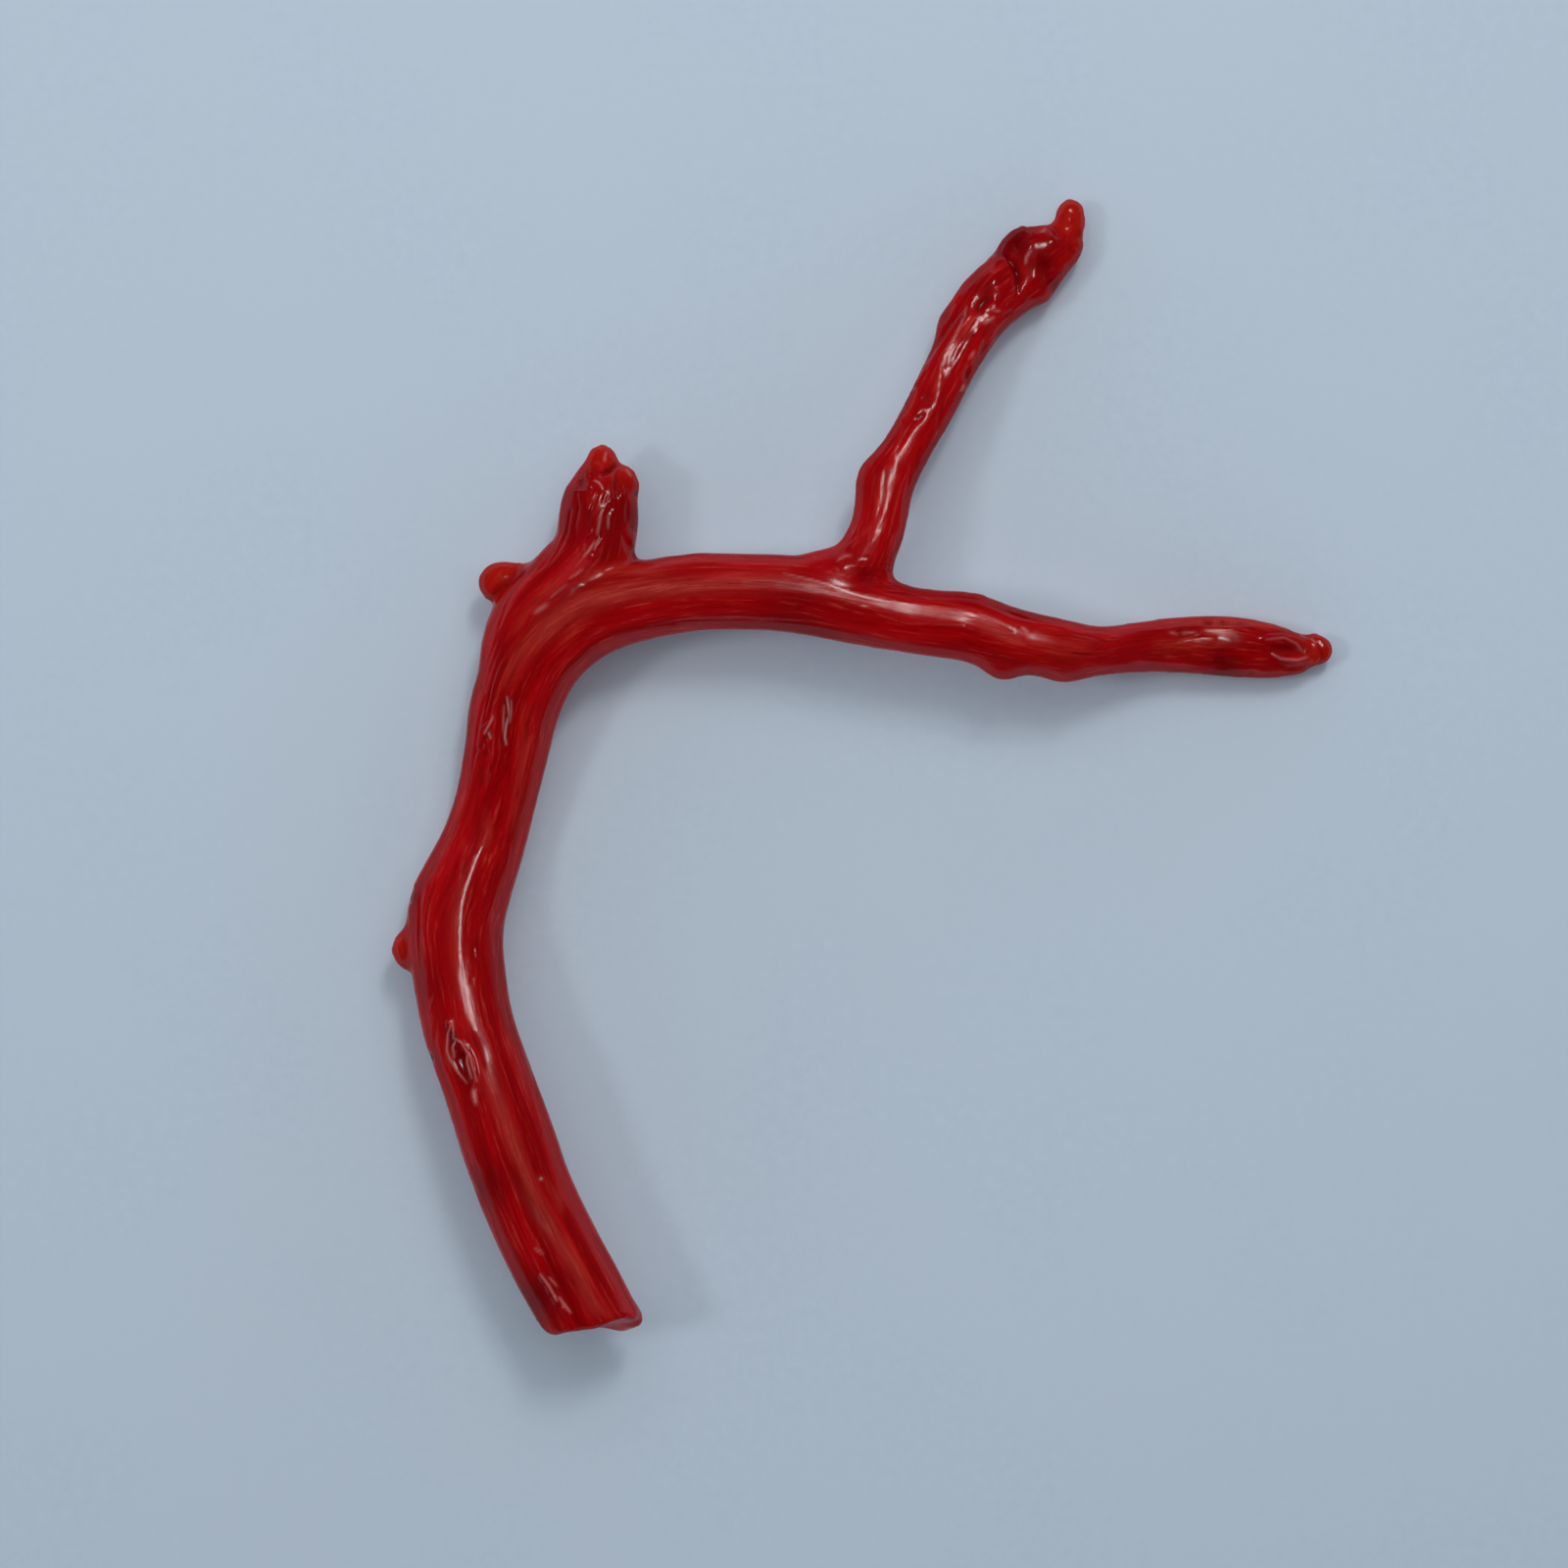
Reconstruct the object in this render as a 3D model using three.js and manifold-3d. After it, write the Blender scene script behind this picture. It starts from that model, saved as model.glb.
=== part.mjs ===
// A polished branch of red coral, lying on a table.
//
// Units are millimetres, +Z is up and the table is the plane z = 0. The origin is
// under the middle of the branch's bounding box. +Y runs from the sawn foot towards
// the twigs, and +X towards the tip of the outer branch.
//
// The coral grew as one piece. It is parted here at its two forks: the short branch
// leaves the main stem at the bend, and the upper and outer branches leave the arm.

import * as THREE from 'three';
import { mergeVertices } from 'three/addons/utils/BufferGeometryUtils.js';
import Module from 'manifold-3d';

const wasm = await Module();
wasm.setup();

// Driving dimensions

const SIDES = 22;             // facets round a branch
const FACET_LENGTH = 1.05;    // length of a facet along a branch
const CAP_STEPS = 4;          // rings in each rounded end
const PARTING_GAP = 0.2;      // clearance between two nodes at a fork
const HEIGHT_SHARE = 0.97;    // a branch is slightly lower than it is wide

// Each station is [x, y, height of the middle, radius]. The stem starts past the
// sawn foot, which trims it.
const STEM = [
  [-7.7, -27.0, 4.65, 2.2],
  [-9.2, -23.8, 4.6, 2.17],
  [-10.6, -21.2, 4.6, 2.17],
  [-11.75, -18.7, 4.6, 2.13],
  [-12.65, -16.2, 4.55, 2.14],
  [-13.5, -13.7, 4.45, 2.06],
  [-14.4, -11.2, 4.0, 2.07],
  [-14.9, -8.7, 3.35, 2.1],
  [-15.1, -6.5, 2.6, 2.2],
  [-14.6, -4.6, 2.14, 2.08],
  [-13.9, -2.8, 1.79, 1.92],
  [-13.3, -0.8, 1.95, 1.83],
  [-12.8, 1.4, 2.4, 1.9],
  [-12.35, 3.6, 2.95, 2.04],
];
const ARM = [
  [-11.4, 5.75, 3.3, 2.1],
  [-9.95, 7.2, 3.55, 2.06],
  [-8.35, 7.98, 3.75, 1.93],
  [-6.4, 8.43, 3.95, 1.8],
  [-4.2, 8.75, 4.15, 1.75],
  [-1.8, 8.8, 4.42, 1.71],
  [0.6, 8.65, 4.44, 1.74],
  [3.2, 8.1, 4.5, 1.66],
];
const OUTER = [
  [5.8, 7.5, 4.58, 1.5],
  [8.2, 7.15, 4.6, 1.5],
  [10.4, 6.6, 4.5, 1.42],
  [12.5, 6.25, 4.3, 1.3],
  [14.4, 6.1, 3.4, 1.12],
  [16.2, 6.28, 2.4, 1.12],
  [18.2, 6.42, 1.55, 1.26],
  [20.4, 6.36, 1.28, 1.38],
  [22.4, 6.15, 1.2, 1.25],
  [23.5, 6.0, 1.1, 1.0],
];
// The upper branch starts inside the arm and leaves it in a curve, as it grew.
const UPPER = [
  [-0.4, 8.6, 4.3, 1.6],
  [1.6, 8.95, 4.35, 1.66],
  [3.35, 9.8, 4.5, 1.45],
  [4.25, 11.6, 4.4, 1.22],
  [4.7, 13.7, 3.95, 1.24],
  [5.65, 15.4, 3.7, 1.08],
  [6.85, 17.55, 3.15, 1.12],
  [7.95, 19.75, 2.6, 1.15],
  [9.2, 21.8, 2.05, 1.32],
  [10.9, 23.5, 1.36, 1.46],
  [12.35, 24.6, 1.28, 1.22],
];
// The short branch carries the stem straight on at the bend.
const SHORT = [
  [-12.15, 4.6, 3.1, 1.95],
  [-11.45, 7.0, 3.3, 2.17],
  [-10.05, 8.95, 3.4, 1.98],
  [-8.8, 10.5, 3.4, 1.82],
  [-8.55, 11.8, 3.35, 1.83],
  [-8.45, 12.8, 3.35, 1.75],
  [-8.35, 13.7, 3.3, 1.5],
  [-8.35, 14.85, 3.3, 0.72],
];

// Buds are the small round side shoots: middle, and half sizes along x, y and z.
const BUDS = [
  { at: [-17.0, -7.6, 2.6], size: [0.95, 0.98, 0.9] },    // low on the stem
  { at: [-13.0, 9.25, 2.6], size: [0.88, 0.88, 0.82] },   // outside the bend
  { at: [-12.0, 8.6, 2.7], size: [1.25, 1.1, 1.0] },      // the neck of that bud
  { at: [-7.45, 13.6, 3.5], size: [0.8, 1.0, 0.8] },      // second tip of the short branch
  { at: [13.2, 25.95, 1.3], size: [0.66, 0.85, 0.66] },   // end of the upper branch
  { at: [24.45, 6.2, 1.05], size: [0.78, 0.74, 0.68] },   // end of the outer branch
];

// Swells are soft lumps, or hollows where the rise is negative, on the surface.
const SWELLS = [
  { at: [9.8, 5.1, 4.4], rise: 0.5, width: 0.9 },         // lumps under the outer branch
  { at: [13.2, 5.0, 3.9], rise: 0.36, width: 1.1 },
  { at: [9.0, 8.6, 5.0], rise: 0.2, width: 1.1 },         // its shoulder
  { at: [22.2, 6.2, 2.4], rise: -0.2, width: 0.9 },       // hollow near its end
  { at: [-16.9, -4.9, 2.8], rise: 0.15, width: 1.3 },     // knuckle above the stem's bud
  { at: [5.6, 17.0, 3.8], rise: -0.12, width: 0.7 },      // pits beside the upper branch
  { at: [12.2, 22.6, 1.4], rise: 0.25, width: 0.9 },      // knobs near its end
  { at: [8.4, 22.6, 2.1], rise: 0.2, width: 0.9 },
  { at: [10.6, 25.2, 1.8], rise: 0.35, width: 0.8 },
  { at: [10.9, 23.6, 3.0], rise: -0.25, width: 0.7 },     // the hollow between them
  { at: [-14.6, -12.3, 6.6], rise: -0.2, width: 0.9 },    // long pit in the stem
  { at: [-12.7, 3.0, 5.0], rise: -0.18, width: 0.8 },     // eye-shaped pit below the bend
];

// Flutes are long low ridges that wander round a branch as they run along it.
const FLUTES = [
  { count: 3, rise: 0.035, twist: 0.25, start: 0 },
  { count: 5, rise: 0.022, twist: -0.4, start: 1.3 },
];

// The foot was sawn off square to the table and a little askew to the stem.
const FOOT_MIDDLE = new THREE.Vector3(-8.5, -25.06, 4.6);
const FOOT_OUT = new THREE.Vector3(0.09, -0.99, 0.06).normalize();
const FOOT_WASTE = 12;        // size of the block that is sawn away
const SCOOP_RADIUS = 3.2;     // the sawn face is ground slightly hollow
const SCOOP_DEPTH = 0.3;

// Where the branch is parted at its forks
const STEM_ARM_X = -6.2;
const ARM_OUTER_X = 6.3;
const SHORT_Y = 10.9;
const UPPER_Y = 11.3;

const BIG = 60;               // larger than the whole branch

const UP = new THREE.Vector3(0, 0, 1);

// The bare shape of a three.js geometry, with its seams and poles closed
function welded(geometry) {
  const bare = geometry.clone();
  bare.deleteAttribute('normal');
  bare.deleteAttribute('uv');
  return mergeVertices(bare, 1e-5);
}

function solid(geometry) {
  const shape = welded(geometry);
  return new wasm.Manifold(new wasm.Mesh({
    numProp: 3,
    vertProperties: new Float32Array(shape.attributes.position.array),
    triVerts: new Uint32Array(shape.index.array),
  }));
}

function block(min, max) {
  const size = new THREE.Vector3().subVectors(max, min);
  const geometry = new THREE.BoxGeometry(size.x, size.y, size.z);
  geometry.translate((min.x + max.x) / 2, (min.y + max.y) / 2, (min.z + max.z) / 2);
  return solid(geometry);
}

function fluteHeight(angle, along) {
  return FLUTES.reduce((height, { count, rise, twist, start }) =>
    height + rise * Math.cos(count * angle + twist * along + start), 0);
}

// A round-ended branch: a capsule bent along the curve through its stations
function limb(stations) {
  const spine = new THREE.CatmullRomCurve3(
    stations.map(([x, y, z]) => new THREE.Vector3(x, y, z)), false, 'catmullrom', 0.5);
  const girth = new THREE.CatmullRomCurve3(
    stations.map(([, , , radius]) => new THREE.Vector3(radius, 0, 0)), false, 'catmullrom', 0.5);
  const length = spine.getLength();
  const steps = Math.round(length / FACET_LENGTH);
  const shape = welded(new THREE.CapsuleGeometry(1, 1, CAP_STEPS, SIDES, steps));
  const position = shape.attributes.position;
  const vertex = new THREE.Vector3();
  for (let i = 0; i < position.count; i++) {
    vertex.fromBufferAttribute(position, i);
    const inBody = THREE.MathUtils.clamp(vertex.y, -0.5, 0.5);
    const pastEnd = vertex.y - inBody;
    const t = inBody + 0.5;
    const ahead = spine.getTangent(t);
    const side = new THREE.Vector3().crossVectors(ahead, UP).normalize();
    const above = new THREE.Vector3().crossVectors(side, ahead);
    const radius = girth.getPoint(t).x;
    const angle = Math.atan2(vertex.z, vertex.x);
    const wide = radius + fluteHeight(angle, t * length);
    const point = spine.getPoint(t)
      .addScaledVector(side, vertex.x * wide)
      .addScaledVector(above, vertex.z * wide * HEIGHT_SHARE)
      .addScaledVector(ahead, pastEnd * radius);
    const outward = new THREE.Vector3()
      .addScaledVector(side, vertex.x)
      .addScaledVector(above, vertex.z)
      .addScaledVector(ahead, pastEnd);
    swell(point, outward);
    position.setXYZ(i, point.x, point.y, point.z);
  }
  return solid(shape);
}

// Moves a point of the surface out by the soft lumps round it
function swell(point, outward) {
  for (const { at, rise, width } of SWELLS) {
    const distance = point.distanceTo(new THREE.Vector3(...at));
    point.addScaledVector(outward, rise * Math.exp(-((distance / width) ** 2)));
  }
}

function bud({ at, size }) {
  const geometry = new THREE.SphereGeometry(1, 14, 10);
  geometry.rotateX(Math.PI / 2);
  geometry.scale(...size);
  geometry.translate(...at);
  return solid(geometry);
}

// Everything beyond the sawn foot, with the hollow in its face
function footCutter() {
  const turn = new THREE.Quaternion().setFromUnitVectors(UP, FOOT_OUT);
  const beyond = new THREE.BoxGeometry(FOOT_WASTE, FOOT_WASTE, FOOT_WASTE);
  beyond.translate(0, 0, FOOT_WASTE / 2);
  const scoop = new THREE.SphereGeometry(SCOOP_RADIUS, 32, 24);
  scoop.rotateX(Math.PI / 2);
  scoop.translate(0, 0, SCOOP_RADIUS - SCOOP_DEPTH);
  for (const geometry of [beyond, scoop]) {
    geometry.applyQuaternion(turn);
    geometry.translate(...FOOT_MIDDLE);
  }
  return solid(beyond).add(solid(scoop));
}

function wholeBranch() {
  let whole = limb([...STEM, ...ARM, ...OUTER]);
  for (const stations of [UPPER, SHORT]) {
    whole = whole.add(limb(stations));
  }
  for (const shape of BUDS) {
    whole = whole.add(bud(shape));
  }
  whole = whole.subtract(footCutter());
  const table = block(new THREE.Vector3(-BIG, -BIG, -BIG), new THREE.Vector3(BIG, BIG, 0));
  return whole.subtract(table);
}

function piece(whole, name, min, max) {
  const solidPiece = whole.intersect(block(new THREE.Vector3(...min), new THREE.Vector3(...max)));
  const { vertProperties, triVerts } = solidPiece.getMesh();
  const geometry = new THREE.BufferGeometry();
  geometry.setAttribute('position', new THREE.BufferAttribute(vertProperties, 3));
  geometry.setIndex(new THREE.BufferAttribute(triVerts, 1));
  geometry.computeVertexNormals();
  const coral = new THREE.MeshStandardMaterial({ color: 0x9c0f12, roughness: 0.28, metalness: 0 });
  const mesh = new THREE.Mesh(geometry, coral);
  mesh.name = name;
  return mesh;
}

const whole = wholeBranch();
const half = PARTING_GAP / 2;
const branch = new THREE.Group();
branch.name = 'red_coral_branch';
branch.add(
  piece(whole, 'arm',
    [STEM_ARM_X + half, -BIG, -BIG], [ARM_OUTER_X - half, UPPER_Y - half, BIG]),
  piece(whole, 'outer_branch',
    [ARM_OUTER_X + half, -BIG, -BIG], [BIG, UPPER_Y - half, BIG]),
  piece(whole, 'upper_branch',
    [STEM_ARM_X + half, UPPER_Y + half, -BIG], [BIG, BIG, BIG]),
  piece(whole, 'short_branch',
    [-BIG, SHORT_Y + half, -BIG], [STEM_ARM_X - half, BIG, BIG]),
  piece(whole, 'main_stem',
    [-BIG, -BIG, -BIG], [STEM_ARM_X - half, SHORT_Y - half, BIG]),
);

// The origin goes under the middle of the bounding box.
const box = new THREE.Box3().setFromObject(branch);
const middle = box.getCenter(new THREE.Vector3());
branch.position.set(-middle.x, -middle.y, 0);

export default branch;
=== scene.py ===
import math

import bmesh
import bpy
import numpy as np
from mathutils import Matrix, Vector, kdtree, noise


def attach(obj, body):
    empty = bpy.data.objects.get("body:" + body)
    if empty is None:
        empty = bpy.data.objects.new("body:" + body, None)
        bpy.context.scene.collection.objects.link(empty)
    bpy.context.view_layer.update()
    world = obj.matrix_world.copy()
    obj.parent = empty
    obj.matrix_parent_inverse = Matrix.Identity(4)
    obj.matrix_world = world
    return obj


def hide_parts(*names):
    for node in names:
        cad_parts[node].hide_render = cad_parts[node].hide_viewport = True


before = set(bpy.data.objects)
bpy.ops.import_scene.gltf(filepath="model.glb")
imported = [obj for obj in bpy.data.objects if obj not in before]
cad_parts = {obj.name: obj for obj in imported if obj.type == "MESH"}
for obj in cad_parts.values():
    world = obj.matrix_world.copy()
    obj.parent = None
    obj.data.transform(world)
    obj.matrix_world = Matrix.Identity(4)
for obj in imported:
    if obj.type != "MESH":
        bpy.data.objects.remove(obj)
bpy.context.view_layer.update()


# The main limb
# The skeleton grew from the foot in one long curve: the stem dips to the table, turns
# at the bend into the arm, and runs on as the outer branch. It is calcite laid down in
# thin coats round a core, so it is nearly round in section all the way.

MM = 0.001
HEIGHT_SHARE = 0.97           # a limb is slightly lower than it is wide
SIDES = 48                    # corners in one ring of a limb
CAP_ANGLES = [math.radians(a) for a in (20, 40, 60, 78)]    # the rings of a rounded end

# Each station is [x, y, height of the middle, radius] in millimetres.
MAIN_LIMB = [
    [-7.7, -27.0, 4.65, 2.2],
    [-9.2, -23.8, 4.6, 2.17],
    [-10.6, -21.2, 4.6, 2.17],
    [-11.75, -18.7, 4.6, 2.13],
    [-12.65, -16.2, 4.55, 2.14],
    [-13.5, -13.7, 4.45, 2.06],
    [-14.4, -11.2, 4.0, 2.07],
    [-14.9, -8.7, 3.35, 2.1],
    [-15.1, -6.5, 2.6, 2.2],
    [-14.6, -4.6, 2.14, 2.08],
    [-13.9, -2.8, 1.79, 1.92],
    [-13.3, -0.8, 1.95, 1.83],
    [-12.8, 1.4, 2.4, 1.9],
    [-12.35, 3.6, 2.95, 2.04],
    [-11.4, 5.75, 3.3, 2.1],
    [-9.95, 7.2, 3.55, 2.06],
    [-8.35, 7.98, 3.75, 1.93],
    [-6.4, 8.43, 3.95, 1.8],
    [-4.2, 8.75, 4.15, 1.75],
    [-1.8, 8.8, 4.42, 1.71],
    [0.6, 8.65, 4.44, 1.74],
    [3.2, 8.1, 4.5, 1.66],
    [5.8, 7.5, 4.58, 1.5],
    [8.2, 7.15, 4.6, 1.5],
    [10.4, 6.6, 4.5, 1.42],
    [12.5, 6.25, 4.3, 1.3],
    [14.4, 6.1, 3.4, 1.12],
    [16.2, 6.28, 2.4, 1.12],
    [18.2, 6.42, 1.55, 1.26],
    [20.4, 6.36, 1.28, 1.38],
    [22.4, 6.15, 1.2, 1.25],
    [23.5, 6.0, 1.1, 1.0],
]


def curve_through(stations, steps=6):
    """The smooth curve through the stations, as rows of x, y, z and radius."""
    p = np.array(stations, float)
    p = np.vstack([2 * p[0] - p[1], p, 2 * p[-1] - p[-2]])
    t = np.linspace(0, 1, steps, endpoint=False)[:, None]
    a, b, c, d = (p[i:len(p) - 3 + i, None] for i in range(4))
    rows = b + t / 2 * (c - a + t * (2 * a - 5 * b + 4 * c - d + t * (3 * (b - c) + d - a)))
    return np.vstack([rows.reshape(-1, 4), p[-2]])


def limb_axes(path):
    """The directions ahead, to the side and up at each row of a limb's path."""
    ahead = np.gradient(path[:, :3], axis=0)
    ahead /= np.linalg.norm(ahead, axis=1, keepdims=True)
    side = np.cross(ahead, [0, 0, 1])
    side /= np.linalg.norm(side, axis=1, keepdims=True)
    return ahead, side, np.cross(side, ahead)


def grow_limb(growth, stations):
    """Adds a round-ended limb to the mesh, one ring of skeleton after another."""
    path = curve_through(stations)
    ahead, side, above = limb_axes(path)
    rings = [(0, -math.sin(a), math.cos(a)) for a in reversed(CAP_ANGLES)]
    rings += [(i, 0, 1) for i in range(len(path))]
    rings += [(len(path) - 1, math.sin(a), math.cos(a)) for a in CAP_ANGLES]
    places = []
    for i, past, share in rings:
        radius = path[i, 3]
        place = np.identity(4)
        place[:3, 0] = side[i] * radius * share
        place[:3, 1] = above[i] * radius * share * HEIGHT_SHARE
        place[:3, 2] = ahead[i]
        place[:3, 3] = path[i, :3] + ahead[i] * radius * past
        places.append(Matrix(place.tolist()))
    first = bmesh.ops.create_circle(growth, segments=SIDES, radius=1, matrix=places[0])
    ring = list({e for v in first["verts"] for e in v.link_edges})
    bmesh.ops.contextual_create(growth, geom=ring)
    for before, after in zip(places, places[1:]):
        made = bmesh.ops.extrude_edge_only(growth, edges=ring)["geom"]
        ring = [g for g in made if isinstance(g, bmesh.types.BMEdge)]
        corners = [g for g in made if isinstance(g, bmesh.types.BMVert)]
        bmesh.ops.transform(growth, matrix=after @ before.inverted(), verts=corners)
    bmesh.ops.contextual_create(growth, geom=ring)
    return path


growth = bmesh.new()
main_path = grow_limb(growth, MAIN_LIMB)

# The sawn foot
# The branch was sawn off its colony here, nearly across the stem, and the cut was
# ground and polished. This takes the waste off; the grinding comes with the relief.

FOOT_MIDDLE = Vector((-8.5, -24.86, 4.6))
FOOT_OUT = Vector((0.09, -0.99, 0.06)).normalized()

bmesh.ops.bisect_plane(
    growth, geom=growth.verts[:] + growth.edges[:] + growth.faces[:],
    plane_co=FOOT_MIDDLE, plane_no=FOOT_OUT, clear_outer=True)
bmesh.ops.contextual_create(growth, geom=[e for e in growth.edges if e.is_boundary])

# The upper branch
# It forked off the arm early and was grown over by the same coats of skeleton, so it
# leaves the arm in a smooth curve on one side and a tight crotch on the other.

UPPER_BRANCH = [
    [-0.4, 8.6, 4.3, 1.6],
    [1.6, 8.95, 4.35, 1.66],
    [3.35, 9.8, 4.5, 1.45],
    [4.25, 11.6, 4.4, 1.22],
    [4.7, 13.7, 3.95, 1.24],
    [5.65, 15.4, 3.7, 1.08],
    [6.85, 17.55, 3.15, 1.12],
    [7.95, 19.75, 2.6, 1.15],
    [9.2, 21.8, 2.05, 1.32],
    [10.9, 23.5, 1.36, 1.46],
    [12.35, 24.6, 1.28, 1.22],
]

upper_path = grow_limb(growth, UPPER_BRANCH)

# The short branch
# It carries the stem straight on where the arm turns away, and stopped growing early,
# so it is short and pointed, with two tips.

SHORT_BRANCH = [
    [-12.15, 4.6, 3.1, 1.95],
    [-11.45, 7.0, 3.3, 2.17],
    [-10.05, 8.95, 3.4, 1.98],
    [-8.8, 10.5, 3.4, 1.82],
    [-8.55, 11.8, 3.35, 1.83],
    [-8.45, 12.8, 3.35, 1.75],
    [-8.35, 13.7, 3.3, 1.5],
    [-8.35, 14.85, 3.3, 0.72],
]

short_path = grow_limb(growth, SHORT_BRANCH)

# The buds
# Each is a side shoot that had only just started, a small round knob of fresh skeleton
# that is thin and clear; the glow of light through it is painted on with the tips below.

BUDS = {
    "stem": [(-17.0, -7.6, 2.6), (0.95, 0.98, 0.9)],
    "bend": [(-13.0, 9.25, 2.6), (0.88, 0.88, 0.82)],
    "bend_neck": [(-12.0, 8.6, 2.7), (1.25, 1.1, 1.0)],
    "short_branch": [(-7.45, 13.6, 3.5), (0.8, 1.0, 0.8)],
    "upper_branch": [(13.2, 25.95, 1.3), (0.66, 0.85, 0.66)],
    "outer_branch": [(24.45, 6.2, 1.05), (0.78, 0.74, 0.68)],
}

for middle, size in BUDS.values():
    place = Matrix.Translation(middle) @ Matrix.Diagonal((*size, 1))
    bmesh.ops.create_uvsphere(growth, u_segments=32, v_segments=20, radius=1, matrix=place)

# One skin
# The limbs and buds are a single piece of skeleton, with no seam at the forks. They are
# fused into one closed skin here, and the forks are filled the way new coats fill them.

SKIN_CELL = 0.216             # size of a facet of the skin before the upper side is refined
SKIN_SMOOTHING = 3
UPPER_SIDE = 0.05             # facets that face up more than this are split in four
TOP = 0.3                     # and so are those again, where the smallest marks are

# Forks and ground edges, where the skin is evened out further: a place, how far it
# reaches, and how many passes.
SOFT_PLACES = [
    [(4.9, 9.2, 4.4), 1.6, 14],
    [(-6.9, 10.1, 3.6), 1.3, 10],
    [(-11.6, 9.6, 3.0), 1.3, 8],
    [(-10.6, -24.7, 4.6), 0.8, 30],
    [(-6.6, -24.9, 4.4), 1.0, 36],
    [(-8.5, -24.9, 4.6), 2.6, 3],
]

# Where the smallest marks are, and how far they reach, seen from above.
FINE_WORK = [
    [(-12.9, 2.8), 1.5],
    [(-14.7, -12.6), 2.0],
    [(-10.5, -22.8), 1.4],
    [(-8.5, 12.4), 2.1],
    [(23.2, 6.2), 1.4],
]


def put_in_scene(name, data):
    thing = bpy.data.objects.new(name, data)
    bpy.context.scene.collection.objects.link(thing)
    return thing


bmesh.ops.recalc_face_normals(growth, faces=growth.faces)
rough_mesh = bpy.data.meshes.new("coral_rough")
growth.to_mesh(rough_mesh)
growth.free()
rough = put_in_scene("coral_rough", rough_mesh)
fusing = rough.modifiers.new("fusing", "REMESH")
fusing.mode = "VOXEL"
fusing.voxel_size = SKIN_CELL
fused = rough.evaluated_get(bpy.context.evaluated_depsgraph_get())
skin = bmesh.new()
skin.from_mesh(fused.to_mesh())
bpy.data.objects.remove(rough)


def smooth(corners, passes):
    """Evens out the skin round the given corners."""
    for _ in range(passes):
        bmesh.ops.smooth_vert(
            skin, verts=corners, factor=0.5, use_axis_x=True, use_axis_y=True, use_axis_z=True)


def refine(steepest, chosen):
    """Splits the chosen facets that face upwards, each edge in two."""
    skin.normal_update()
    split = [f for f in skin.faces if f.normal.z > steepest and chosen(f.calc_center_median().xy)]
    bmesh.ops.subdivide_edges(
        skin, edges=list({e for f in split for e in f.edges}), cuts=1, use_grid_fill=True)
    bmesh.ops.triangulate(skin, faces=[f for f in skin.faces if len(f.verts) > 4])


smooth(skin.verts, SKIN_SMOOTHING)
for middle, reach, passes in SOFT_PLACES:
    smooth([v for v in skin.verts if (v.co - Vector(middle)).length < reach], passes)
refine(UPPER_SIDE, lambda place: True)
smooth(skin.verts, 3)
refine(TOP, lambda place: any((place - Vector(p)).length < r for p, r in FINE_WORK))
smooth(skin.verts, 1)

skin_mesh = bpy.data.meshes.new("coral_branch")
skin.to_mesh(skin_mesh)
skin.free()
skin_mesh.shade_smooth()

# The grain
# Coats of skeleton were laid down along every limb, so lumps, lines and streaks all run
# lengthways. These values say where each point of the skin lies in its own limb: how
# far to the side, how far above the middle, and how far along.

GRAIN_STRETCH = 0.07          # how much slower the grain changes along a limb


def read_skin(what, source):
    values = np.zeros(len(skin_mesh.vertices) * 3)
    source.foreach_get(what, values)
    return values.reshape(-1, 3)


def place_in_limb(points, path):
    """Each point's place in a limb's grain, and how far it is from the middle, in radii."""
    rows = np.arange(len(path))
    fine = np.linspace(0, len(path) - 1, 16 * len(path))
    path = np.column_stack([np.interp(fine, rows, path[:, k]) for k in range(4)])
    _, side, above = limb_axes(path)
    run = np.r_[0, np.cumsum(np.linalg.norm(np.diff(path[:, :3], axis=0), axis=1))]
    tree = kdtree.KDTree(len(path))
    for i, middle in enumerate(path[:, :3]):
        tree.insert(middle, i)
    tree.balance()
    nearest = np.array([tree.find(p)[1] for p in points])
    out = points - path[nearest, :3]
    grain = np.column_stack([
        (out * side[nearest]).sum(1), (out * above[nearest]).sum(1), run[nearest] * GRAIN_STRETCH])
    return grain, np.linalg.norm(out, axis=1) / path[nearest, 3]


def smoothly(x, low, high):
    """Rises smoothly from 0 at low to 1 at high."""
    t = np.clip((x - low) / (high - low), 0, 1)
    return t * t * (3 - 2 * t)


points = read_skin("co", skin_mesh.vertices)
main_grain, main_off = place_in_limb(points, main_path)
upper_grain, upper_off = place_in_limb(points, upper_path)
short_grain, short_off = place_in_limb(points, short_path)
is_upper = upper_off < short_off
side_grain = np.where(is_upper[:, None], upper_grain, short_grain + [0, 0, 9])
side_off = np.where(is_upper, upper_off, short_off)
side_share = smoothly(main_off - side_off, -0.1, 0.45)

# The growth relief
# Broad ridges run along the limbs, and the young ends are knobbly, because growth there
# was quick and uneven.

# Each knobbly stretch is where it starts and ends, how far it reaches to the sides, and
# how high its knobs are.
KNOBBLY = [
    [(9.4, 22.0), (13.4, 26.0), 2.2, 0.06],
    [(17.5, 6.6), (24.5, 6.2), 1.3, 0.025],
    [(-8.4, 10.5), (-8.2, 15.5), 1.8, 0.03],
    [(6.5, 17.5), (8.6, 21.0), 1.5, 0.015],
]

BROAD_RIDGE = 0.014
NARROW_RIDGE = 0.005
UNEVENNESS = 0.02             # how far the whole skin wanders in and out

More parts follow.
